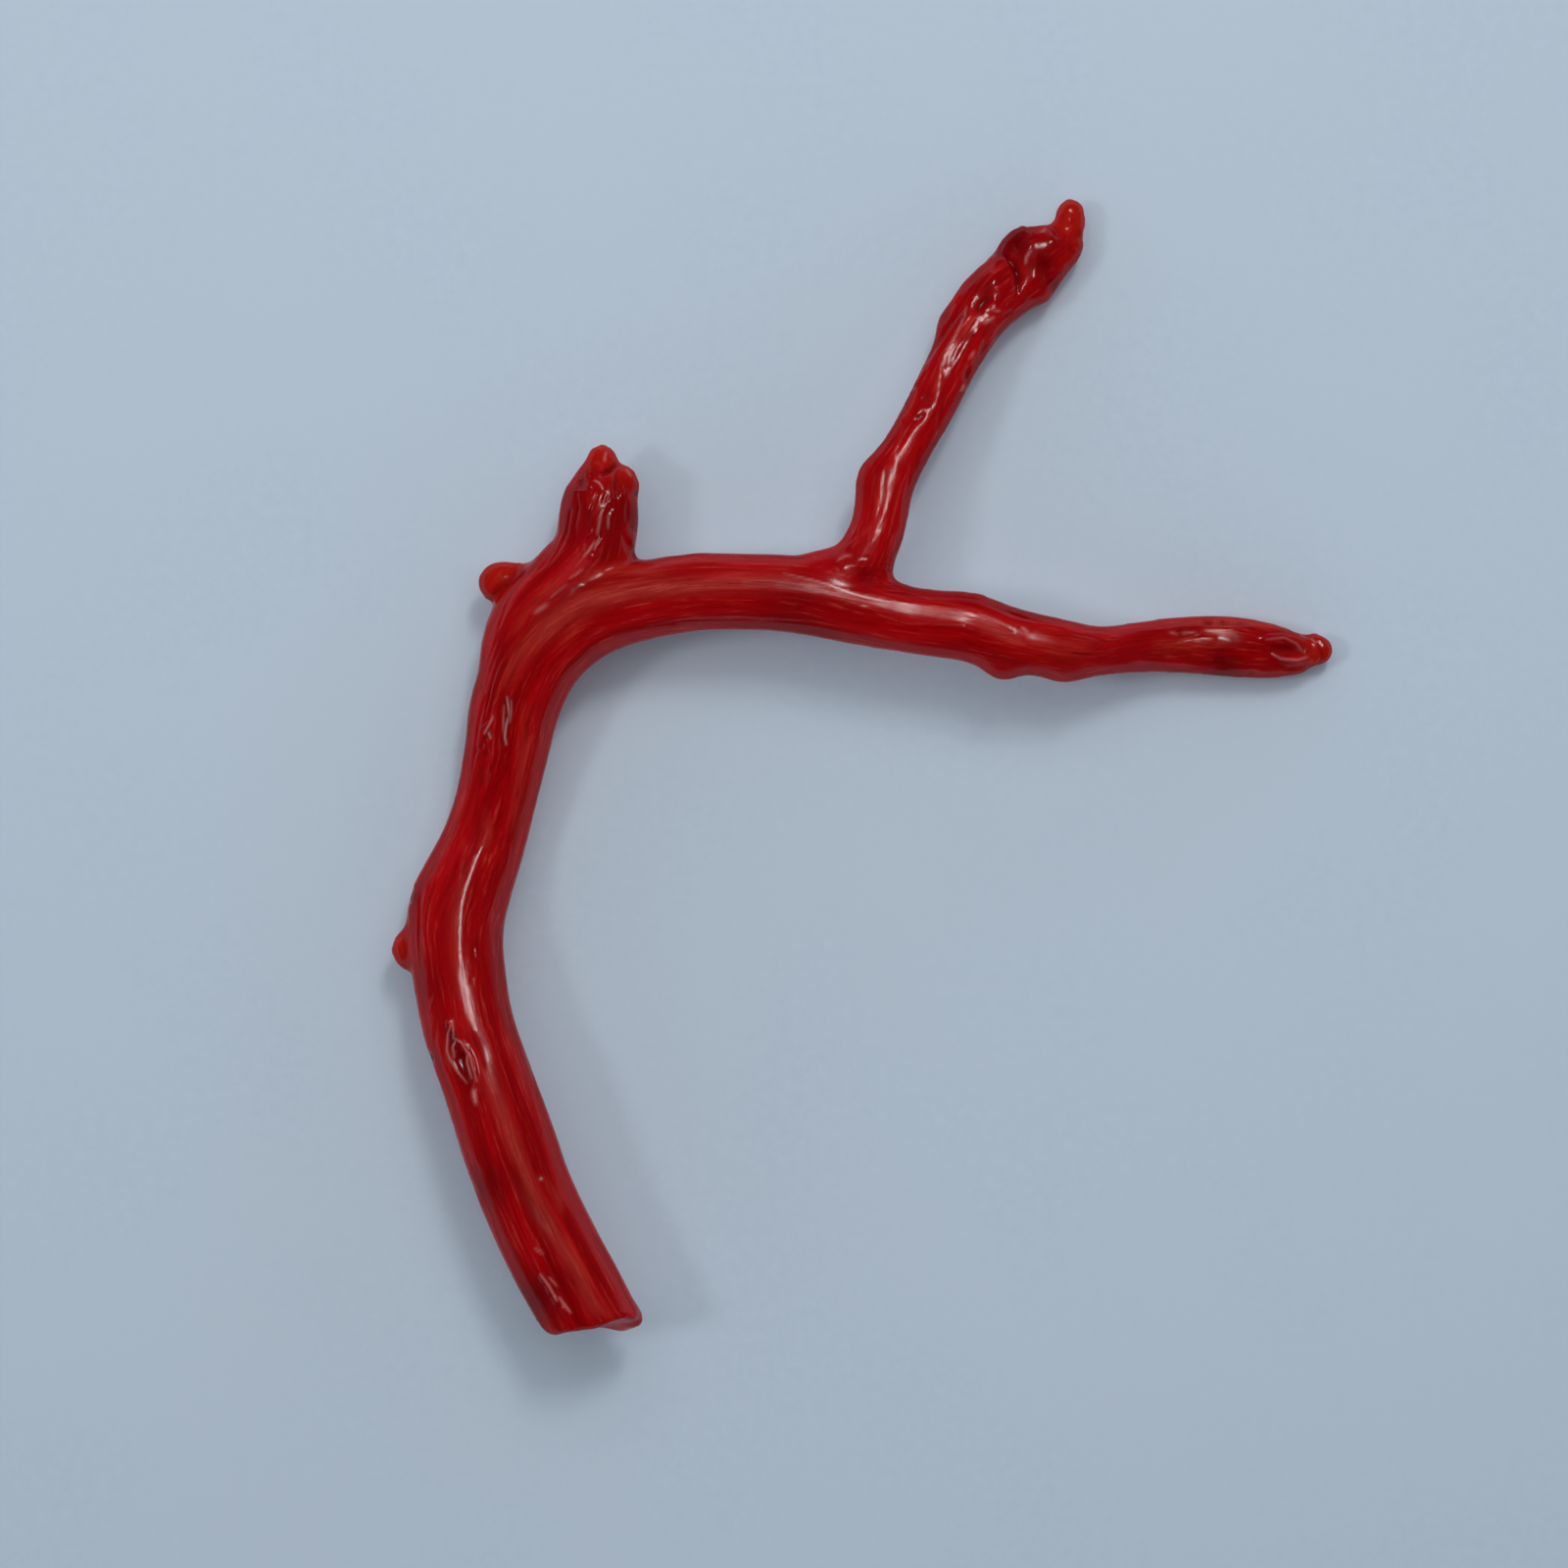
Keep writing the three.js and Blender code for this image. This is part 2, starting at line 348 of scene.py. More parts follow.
# Each swelling is a place, how far it rises there, and how wide it is.
SWELLINGS = [
    [(9.9, 5.0, 4.4), 0.5, 0.9],
    [(12.8, 5.0, 3.9), 0.28, 1.1],
    [(8.9, 8.6, 5.0), 0.13, 1.2],
    [(22.4, 6.2, 2.4), -0.12, 0.9],
    [(24.9, 6.2, 1.05), 0.2, 0.5],
    [(-16.9, -4.9, 2.8), 0.15, 1.3],
    [(12.2, 22.6, 1.4), 0.25, 0.9],
    [(7.6, 21.3, 2.4), 0.3, 0.9],
    [(8.6, 22.8, 2.1), 0.2, 1.0],
    [(10.7, 25.1, 1.7), 0.45, 1.0],
    [(10.9, 23.6, 3.0), -0.25, 0.7],
    [(13.5, 24.9, 1.4), 0.3, 0.6],
    [(13.3, 26.5, 1.3), 0.3, 0.5],
    [(3.7, 14.2, 4.2), 0.15, 0.9],
    [(-14.6, -12.3, 6.6), -0.2, 0.9],
    [(-12.7, 3.0, 5.0), -0.18, 0.8],
    [(-12.1, 9.9, 2.7), 0.4, 0.6],
    [(-13.4, 9.3, 2.6), 0.2, 0.9],
    [(-17.4, -7.6, 2.6), 0.12, 0.9],
    [(-9.3, 14.2, 3.3), 0.05, 0.5],
    [(-6.7, -24.4, 4.2), 0.25, 0.6],
]
SMOOTHED_OFF = 0.05           # what the smoothing of the skin took off all round


def distance_to(line, where):
    """How far each point is from a line seen from above, and how far along it it lies."""
    line = np.array(line, float)
    lengths = np.linalg.norm(np.diff(line, axis=0), axis=1)
    best = np.full(len(where), 1e9)
    along = np.zeros(len(where))
    for k, (start, end) in enumerate(zip(line, line[1:])):
        t = np.clip((where - start) @ (end - start) / lengths[k] ** 2, 0, 1)
        gap = np.linalg.norm(where - start - t[:, None] * (end - start), axis=1)
        closer = gap < best
        best[closer] = gap[closer]
        along[closer] = ((lengths[:k].sum() + t * lengths[k]) / lengths.sum())[closer]
    return best, along


def sample_noise(coordinates, seed):
    return np.array([noise.noise(c) for c in (coordinates + seed).tolist()])


def ridges(grain):
    """Broad and narrow ridges along a limb, for each point of the skin."""
    broad = sample_noise(grain * [1.1, 1.1, 2.0], 11.3)
    narrow = sample_noise(grain * [2.4, 2.4, 3.0], 47.9)
    return BROAD_RIDGE * broad + NARROW_RIDGE * narrow


relief = (1 - side_share) * ridges(main_grain) + side_share * ridges(side_grain)
relief += UNEVENNESS * sample_noise(points * 0.6, 5.1)
knobs = 0.8 * sample_noise(points, 23.7) + 0.25 * sample_noise(points * 2.0, 71.2)
for start, end, reach, height in KNOBBLY:
    gap, _ = distance_to([start, end], points[:, :2])
    relief += height * knobs * (1 - smoothly(gap, 0.4 * reach, reach))

rising = np.zeros(len(points))
for place, rise, width in SWELLINGS:
    rising += rise * np.exp(-(((points - place) / width) ** 2).sum(1))
relief += rising + SMOOTHED_OFF

# The marks of growth
# Each mark is a height and a width, then the line it follows seen from above, in
# millimetres. A mark below zero is a crease or a pit; a pair of them with a ridge
# between is how a former polyp's seat looks once it is polished over.

# The lower stem, where the last polish left long soft ridges and dimples.
FOOT_MARKS = [
    [-0.08, 0.3, (-12.55, -17.37), (-12.11, -17.91), (-11.43, -18.99), (-10.8, -20.07)],
    [0.05, 0.18, (-11.07, -21.96), (-10.66, -22.86), (-10.3, -23.49), (-9.86, -24.07)],
    [-0.035, 0.1, (-10.8, -22.05), (-10.44, -22.77), (-10.08, -23.49), (-9.76, -23.94)],
    [0.06, 0.12, (-11.21, -21.02), (-11.12, -21.24)],
    [0.04, 0.11, (-11.21, -21.55), (-11.12, -21.73)],
    [0.04, 0.1, (-11.07, -17.82), (-10.98, -17.95)],
    [0.06, 0.12, (-10.98, -22.32), (-10.89, -22.5)],
    [0.06, 0.09, (-10.71, -22.77), (-10.62, -22.99)],
    [0.06, 0.12, (-10.39, -23.31), (-10.3, -23.49)],
    [0.06, 0.12, (-10.04, -23.76), (-9.95, -23.94)],
    [0.03, 0.16, (-10.71, -17.91), (-10.35, -18.63), (-10.08, -19.44)],
    [0.03, 0.1, (-14.08, -16.65), (-13.77, -17.28), (-13.54, -17.64)],
    [-0.03, 0.1, (-14.22, -18.13), (-13.81, -18.81), (-13.37, -19.44)],
    [-0.025, 0.09, (-13.95, -18.27), (-13.54, -18.99), (-13.23, -19.62)],
    [-0.03, 0.14, (-9, -22.5), (-8.46, -23.22), (-8.01, -24.03)],
    [0.03, 0.12, (-10.53, -19.12), (-9.9, -20.25), (-9.27, -21.33)],
    [-0.03, 0.12, (-11.47, -15.75), (-10.98, -17.1), (-10.53, -18.22)],
    [0.03, 0.1, (-13.5, -15.75), (-13.14, -17.1), (-12.73, -18.22)],
]

# The pit half way up the stem, the hole and notch beside it, and the crest above.
STEM_MARKS = [
    [-0.17, 0.28, (-15.12, -11.25), (-14.85, -12.24), (-14.54, -13.14), (-14.22, -13.77)],
    [0.1, 0.12, (-15.25, -10.8), (-15.03, -11.29), (-14.8, -11.7), (-14.45, -11.92), (-14.13, -12.51),
     (-13.99, -13.18), (-13.95, -13.95), (-13.99, -14.49)],
    [0.07, 0.11, (-15.25, -10.8), (-15.34, -11.61), (-15.25, -12.38), (-14.98, -13.05), (-14.76, -13.32)],
    [0.07, 0.09, (-15.16, -11.79), (-14.85, -12.06), (-14.49, -12.51), (-14.31, -13.05), (-14.22, -13.59)],
    [0.05, 0.08, (-15.03, -12.15), (-14.8, -12.73), (-14.49, -13.41)],
    [-0.13, 0.1, (-15.16, -11.25), (-15.03, -11.79)],
    [-0.11, 0.09, (-14.67, -12.15), (-14.58, -12.51)],
    [-0.08, 0.1, (-14.13, -12.78), (-14.13, -13.41)],
    [0.1, 0.15, (-14.08, -13.86), (-14.04, -14.31)],
    [0.04, 0.1, (-15.25, -10.84), (-15.25, -11.03)],
    [0.07, 0.09, (-15.16, -11.47), (-15.12, -11.7)],
    [0.07, 0.09, (-14.98, -12.15), (-14.94, -12.38)],
    [0.04, 0.1, (-14.67, -11.65), (-14.58, -11.79)],
    [0.07, 0.09, (-14.35, -12.2), (-14.26, -12.42)],
    [0.07, 0.09, (-14.08, -12.87), (-14.04, -13.09)],
    [0.045, 0.24, (-14.04, -3.24), (-14.4, -4.37), (-14.71, -5.49), (-14.8, -6.75), (-14.85, -8.32),
     (-14.85, -9.13)],
    [0.015, 0.24, (-14.85, -8.55), (-14.85, -9.45), (-14.58, -10.35), (-14.13, -11.25), (-13.72, -12.29),
     (-13.46, -13.41), (-13.05, -14.4)],
    [0.05, 0.09, (-15.97, -8.32), (-15.75, -8.82), (-15.75, -9.36), (-15.93, -9.9), (-16.16, -10.35)],
    [0.08, 0.35, (-16.16, -8.32), (-16.11, -9.67)],
    [-0.2, 0.13, (-16.96, -4.86), (-17.14, -5.49)],
    [0.06, 0.09, (-16.74, -4.68), (-16.88, -5.62)],
    [-0.18, 0.12, (-16.16, -12.29), (-16.02, -12.73)],
    [-0.05, 0.06, (-14.17, -7.29), (-14.17, -8.01)],
    [0.04, 0.07, (-13.9, -7.79), (-13.86, -8.37)],
    [-0.03, 0.06, (-14.13, -8.55), (-14.22, -9.13)],
    [-0.035, 0.07, (-16.74, -4.72), (-16.92, -5.85), (-16.96, -6.97), (-16.88, -8.1)],
    [-0.035, 0.07, (-16.47, -4.5), (-16.61, -5.85), (-16.65, -7.2), (-16.56, -8.55)],
    [-0.03, 0.07, (-16.16, -4.72), (-16.29, -5.85), (-16.34, -6.97)],
    [-0.03, 0.07, (-17.19, -5.62), (-17.23, -6.75)],
    [-0.03, 0.09, (-13.28, -5.85), (-13.18, -6.97), (-13, -8.32), (-12.82, -9.45)],
    [-0.03, 0.1, (-11.83, -12.15), (-11.47, -13.5), (-11.12, -14.85), (-10.71, -16.2)],
    [0.035, 0.1, (-12.24, -11.79), (-11.7, -13.28), (-11.34, -14.62), (-10.93, -15.84)],
    [0.03, 0.12, (-12.6, -14.85), (-12.15, -16.2), (-11.79, -17.32)],
    [-0.03, 0.1, (-15.75, -10.35), (-15.88, -11.7), (-15.66, -13.05), (-15.21, -14.17)],
]

# Growth lines that fan out at the bend, with an eye-shaped pit and small ones by it.
BEND_MARKS = [
    [-0.15, 0.15, (-12.6, 3.96), (-12.64, 3.15), (-12.73, 2.34), (-12.82, 1.8)],
    [0.05, 0.08, (-12.64, 4.23), (-12.87, 3.6), (-12.96, 2.79), (-12.96, 2.16), (-12.87, 1.53)],
    [0.05, 0.08, (-12.55, 4.23), (-12.42, 3.6), (-12.42, 2.92), (-12.55, 2.25), (-12.73, 1.53)],
    [0.06, 0.05, (-12.69, 3.42), (-12.64, 2.79), (-12.73, 1.98)],
    [-0.12, 0.11, (-13.54, 2.48), (-13.37, 2.11)],
    [0.09, 0.07, (-13.68, 2.61), (-13.5, 2.79), (-13.32, 2.92), (-13.23, 3.33), (-13.18, 3.78)],
    [0.04, 0.1, (-13.41, 2.38), (-13.41, 2.25)],
    [-0.05, 0.08, (-12.91, 1.53), (-13.18, 1.03), (-13.54, 0.45), (-13.86, -0.14)],
    [-0.045, 0.08, (-12.55, 0.94), (-12.91, 0.32), (-13.23, -0.27)],
    [0.03, 0.08, (-12.69, 1.35), (-13.05, 0.72), (-13.37, 0.14)],
    [-0.06, 0.09, (-13.63, 2.16), (-13.63, 1.98)],
    [-0.06, 0.09, (-13.77, 1.8), (-13.81, 1.67)],
    [-0.06, 0.09, (-13.54, 1.53), (-13.59, 1.35)],
    [-0.05, 0.09, (-13.86, 1.3), (-13.95, 1.17)],
    [-0.05, 0.08, (-14.04, 1.62), (-14.08, 1.44)],
    [-0.04, 0.07, (-11.34, 6.97), (-12.15, 6.21), (-12.73, 5.31), (-13.14, 4.32), (-13.37, 3.24)],
    [-0.04, 0.07, (-11.83, 7.2), (-12.55, 6.3), (-13.05, 5.4), (-13.37, 4.41), (-13.54, 3.51)],
    [-0.04, 0.07, (-12.46, 7.11), (-12.96, 6.3), (-13.32, 5.4), (-13.59, 4.5)],
    [-0.035, 0.07, (-13, 6.75), (-13.37, 5.85), (-13.68, 4.95), (-13.9, 3.96)],
    [-0.035, 0.07, (-10.53, 7.2), (-11.47, 6.39), (-12.15, 5.4), (-12.6, 4.41)],
    [-0.035, 0.07, (-13.63, 3.96), (-13.9, 2.92), (-14.08, 1.8), (-14.22, 0.67)],
    [-0.03, 0.07, (-14.17, 3.15), (-14.35, 2.02), (-14.49, 0.9)],
    [-0.03, 0.08, (-13.81, 0.9), (-14.08, 0), (-14.17, -0.9)],
    [0.035, 0.07, (-11.65, 7.15), (-12.38, 6.25), (-12.91, 5.31), (-13.28, 4.23)],
    [0.03, 0.08, (-10.98, 6.84), (-11.79, 6.03), (-12.33, 5.04)],
    [0.04, 0.06, (-10.98, 4.59), (-10.71, 4.72), (-10.44, 4.91)],
    [0.06, 0.22, (-13.86, -1.26), (-13.5, -1.62), (-13.63, -2.52), (-13.99, -3.24)],
    [0.04, 0.1, (-14.8, -2.02), (-14.71, -2.11)],
    [0.03, 0.11, (-14.62, -2.61), (-14.85, -3.6), (-14.94, -4.5)],
    [-0.03, 0.09, (-13.28, 0), (-13.63, -0.67), (-13.99, -1.17)],
    [-0.025, 0.1, (-15.52, -2.25), (-15.88, -3.06), (-16.2, -3.82)],
    [-0.05, 0.06, (-13.95, 4.5), (-13.72, 4.32), (-13.63, 4.18)],
    [-0.12, 0.14, (-13.5, 8.19), (-13.28, 8.69), (-12.82, 9.09), (-12.24, 9.49), (-11.79, 9.72)],
    [0.045, 0.06, (-9.22, 9.76), (-9.9, 9.27), (-10.57, 8.78), (-11.16, 8.28), (-11.47, 7.92)],
    [0.045, 0.06, (-9.9, 9.13), (-10.66, 8.5), (-11.29, 7.83), (-11.61, 7.2)],
    [0.04, 0.06, (-10.71, 9.18), (-11.25, 8.64), (-11.65, 8.01), (-12.06, 7.38)],
    [0.035, 0.06, (-9.63, 8.78), (-10.17, 8.28), (-10.66, 7.74)],
    [0.04, 0.06, (-11.34, 8.82), (-11.79, 8.28), (-12.15, 7.65), (-12.42, 6.97)],
    [0.035, 0.06, (-11.65, 6.97), (-12.15, 6.3), (-12.51, 5.76)],
    [0.03, 0.06, (-11.12, 7.2), (-11.56, 6.66)],
    [-0.035, 0.06, (-9.49, 9.36), (-10.21, 8.87), (-10.89, 8.28), (-11.38, 7.56)],
    [-0.035, 0.06, (-10.98, 8.91), (-11.47, 8.32), (-11.88, 7.65), (-12.24, 7.11)],
    [0.045, 0.16, (-11.34, 8.01), (-11.65, 7.6)],
    [-0.03, 0.07, (-10.12, 10.04), (-10.8, 9.45), (-11.47, 8.82)],
    [-0.03, 0.08, (-11.7, 10.12), (-10.98, 10.3), (-10.53, 10.8)],
    [-0.03, 0.07, (-12.82, 8.46), (-13.14, 7.65), (-13.41, 6.75)],
    [-0.03, 0.07, (-12.38, 8.78), (-12.69, 8.01), (-13, 7.11)],
]

# The short branch, creased lengthways, with a hollow below each of its two tips.
SHORT_BRANCH_MARKS = [
    [-0.055, 0.08, (-10.04, 12.6), (-10.21, 11.47), (-10.57, 10.57), (-11.12, 9.76)],
    [-0.055, 0.08, (-9.72, 12.51), (-9.9, 11.47), (-10.26, 10.66), (-10.75, 9.9)],
    [-0.05, 0.07, (-10.35, 12.24), (-10.39, 11.47), (-10.75, 10.71), (-11.21, 10.12)],
    [-0.05, 0.08, (-9.45, 13.28), (-9.36, 12.6), (-9.54, 11.7)],
    [0.06, 0.07, (-8.82, 12.55), (-9.09, 12.01), (-9.45, 11.34)],
    [0.04, 0.1, (-8.87, 12.6), (-8.91, 12.42)],
    [0.07, 0.09, (-8.55, 12.06), (-8.64, 11.83)],
    [0.04, 0.1, (-8.73, 11.47), (-8.87, 11.29)],
    [0.04, 0.1, (-9.09, 10.8), (-9.18, 10.66)],
    [0.05, 0.07, (-8.73, 11.7), (-9, 11.16), (-9.36, 10.71)],
    [-0.06, 0.07, (-8.5, 13.28), (-8.73, 12.6), (-9.13, 11.88), (-9.54, 11.16)],
    [0.08, 0.09, (-8.19, 12.55), (-8.5, 12.06), (-8.59, 11.47), (-8.64, 11.16)],
    [0.06, 0.08, (-7.92, 12.29), (-8.05, 11.7)],
    [-0.06, 0.07, (-8.32, 12.15), (-8.37, 11.47), (-8.5, 10.98)],
    [0.07, 0.09, (-8.59, 11.12), (-8.87, 10.8), (-9.04, 10.53)],
    [0.06, 0.07, (-8.41, 11.21), (-8.46, 10.93), (-8.73, 10.62)],
    [-0.05, 0.07, (-8.82, 10.98), (-9.09, 10.66)],
    [-0.02, 0.08, (-8.55, 10.26), (-8.32, 10.3)],
    [0.04, 0.08, (-8.78, 10.39), (-8.69, 10.3)],
    [0.05, 0.07, (-9.09, 14.49), (-9, 13.95), (-8.82, 13.5)],
    [-0.13, 0.26, (-9.27, 13.95), (-9.27, 13.41)],
    [0.05, 0.09, (-8.14, 15.12), (-8.19, 14.76), (-8.46, 14.49)],
    [0.04, 0.06, (-8.37, 14.85), (-8.55, 14.54)],
    [-0.17, 0.14, (-7.6, 14.67), (-7.92, 14.4), (-8.37, 14.13)],
    [0.05, 0.06, (-8.73, 13.77), (-8.46, 13.68), (-8.28, 13.5)],
    [-0.06, 0.08, (-8.82, 13.54), (-8.46, 13.32)],
    [0.08, 0.35, (-7.2, 14.35), (-7.02, 13.5)],
    [-0.11, 0.12, (-7.65, 14.4), (-7.74, 13.72), (-7.6, 12.96)],
    [-0.14, 0.14, (-6.66, 13.32), (-6.88, 13.18)],
    [-0.12, 0.14, (-6.66, 11.65), (-6.88, 11.61)],
    [-0.15, 0.18, (-6.75, 10.8), (-6.84, 10.21)],
    [0.05, 0.1, (-7.38, 13.5), (-7.51, 13.05)],
    [-0.04, 0.1, (-7.2, 12.82), (-7.2, 12.06)],
    [0.05, 0.09, (-7.6, 12.6), (-7.83, 12.42)],
    [-0.05, 0.12, (-7.38, 11.47), (-7.2, 10.8)],
    [0.05, 0.1, (-7.02, 11.34), (-6.93, 10.71)],
    [-0.04, 0.08, (-8.1, 13.28), (-8.28, 12.78)],
    [0.04, 0.08, (-7.83, 13.14), (-8.01, 12.78)],
]

# The arm, the best polished part, with fine lines and the crest that leads to the fork.
ARM_MARKS = [
    [0.04, 0.1, (-3.46, 10.39), (-3.33, 10.3)],
    [0.05, 0.5, (-4.5, 10.66), (-3.51, 10.66)],
    [0.04, 0.05, (-6.75, 7.69), (-6.08, 7.92), (-5.44, 8.01)],
    [0.03, 0.05, (-5.22, 8.05), (-4.5, 8.05)],
    [-0.02, 0.05, (-5.4, 9.63), (-3.15, 9.67), (-0.9, 9.54)],
    [-0.02, 0.05, (-6.3, 9.36), (-3.6, 9.27), (-0.45, 9.09), (2.25, 8.73)],
    [-0.02, 0.06, (-4.95, 8.64), (-2.25, 8.69), (0.9, 8.55)],
    [-0.025, 0.06, (-6.52, 7.15), (-4.5, 7.51), (-1.8, 7.56), (1.35, 7.38), (3.6, 6.97)],
    [-0.02, 0.06, (-4.95, 7.79), (-1.8, 7.83), (1.35, 7.65)],
    [0.04, 0.1, (-4.18, 8.64), (-4.09, 8.64)],
    [0.04, 0.1, (-0.09, 7.96), (0, 7.96)],
    [0.03, 0.05, (0.22, 8.23), (0.77, 8.19)],
    [0.03, 0.05, (2.7, 8.14), (4.05, 7.92)],
    [0.035, 0.05, (3.65, 7.51), (4.14, 7.51)],
    [0.035, 0.16, (0, 9.58), (0.67, 9.49), (1.44, 9.27), (2.25, 8.96), (3.15, 8.69), (4.05, 8.46),
     (5.85, 8.19), (7.88, 7.92), (9, 7.56), (9.9, 7.11), (10.71, 6.75)],
    [0.03, 0.06, (-7.2, 9.45), (-6.3, 9.54), (-4.95, 9.54)],
    [-0.02, 0.05, (-1.8, 9.13), (-0.45, 9.13)],
    [-0.03, 0.07, (-8.1, 7.2), (-9, 6.66), (-9.9, 5.94)],
    [-0.03, 0.06, (-4.95, 7.29), (-2.25, 7.33)],
    [0.03, 0.06, (-5.26, 7.25), (-4.95, 7.25), (-4.68, 7.02)],
]

# Wrinkles in the web of the fork, where the two branches pushed the coats together.
FORK_MARKS = [
    [-0.1, 0.42, (3.24, 9.63), (4.18, 9.36)],
    [-0.035, 0.05, (2.97, 10.26), (4.05, 10.3), (4.72, 10.26)],
    [-0.035, 0.05, (2.79, 10.04), (3.82, 10.04), (4.77, 9.95)],
    [-0.035, 0.05, (3.06, 9.76), (4.05, 9.76), (4.86, 9.63)],
    [-0.035, 0.05, (3.06, 9.54), (4.05, 9.49), (4.91, 9.36)],
    [-0.035, 0.05, (3.24, 9.27), (4.14, 9.22), (5.04, 9.04)],
    [-0.03, 0.05, (3.6, 9), (4.5, 8.91), (5.31, 8.78)],
    [-0.03, 0.05, (4.05, 8.73), (5.17, 8.64), (6.08, 8.59)],
    [0.05, 0.08, (2.38, 10.17), (2.7, 10.35), (3.01, 10.44)],
    [0.04, 0.06, (2.61, 9.9), (2.79, 9.72)],
    [0.04, 0.06, (2.16, 9.99), (2.38, 9.72)],
    [-0.03, 0.05, (4, 11.16), (4.41, 11.65), (4.72, 12.24), (5, 12.96), (5.31, 13.95)],
    [0.02, 0.17, (2.97, 10.48), (3.6, 10.71), (4.05, 10.98), (4.37, 11.47), (4.63, 12.06), (4.91, 12.82),
     (5.13, 13.72), (5.08, 14.85), (5.35, 15.34), (5.67, 15.84), (6.12, 16.29), (6.52, 16.79)],
    [0.05, 0.06, (4.91, 14.85), (5.13, 15.39), (5.4, 15.84), (5.54, 16.34)],
    [-0.06, 0.05, (5.13, 15.12), (5.35, 15.66), (5.67, 16.11)],
    [-0.12, 0.11, (6.08, 16.56), (6.34, 16.92)],
    [0.06, 0.08, (6.12, 16.96), (6.21, 16.7)],
    [0.04, 0.05, (5.49, 16.2), (5.35, 16.88), (5.67, 16.61)],
    [0.04, 0.05, (4.68, 11.38), (4.91, 11.79)],
    [0.04, 0.05, (5.26, 12.06), (5.13, 11.7)],
    [0.08, 0.35, (3.96, 14.67), (3.92, 13.5)],
    [-0.03, 0.1, (4.37, 14.85), (4.18, 13.5), (4.09, 12.6)],
    [-0.03, 0.08, (4.63, 14.4), (4.5, 13.05), (4.27, 12.15)],
    [-0.03, 0.07, (3.87, 12.15), (3.46, 11.47), (2.97, 10.98)],
    [-0.03, 0.07, (5.85, 14.85), (5.58, 13.5), (5.4, 12.6)],
    [-0.03, 0.07, (6.21, 15.52), (5.94, 14.4)],
    [0.03, 0.07, (5.71, 11.47), (5.49, 10.35)],
    [-0.03, 0.08, (5.17, 11.25), (5, 10.12)],
]

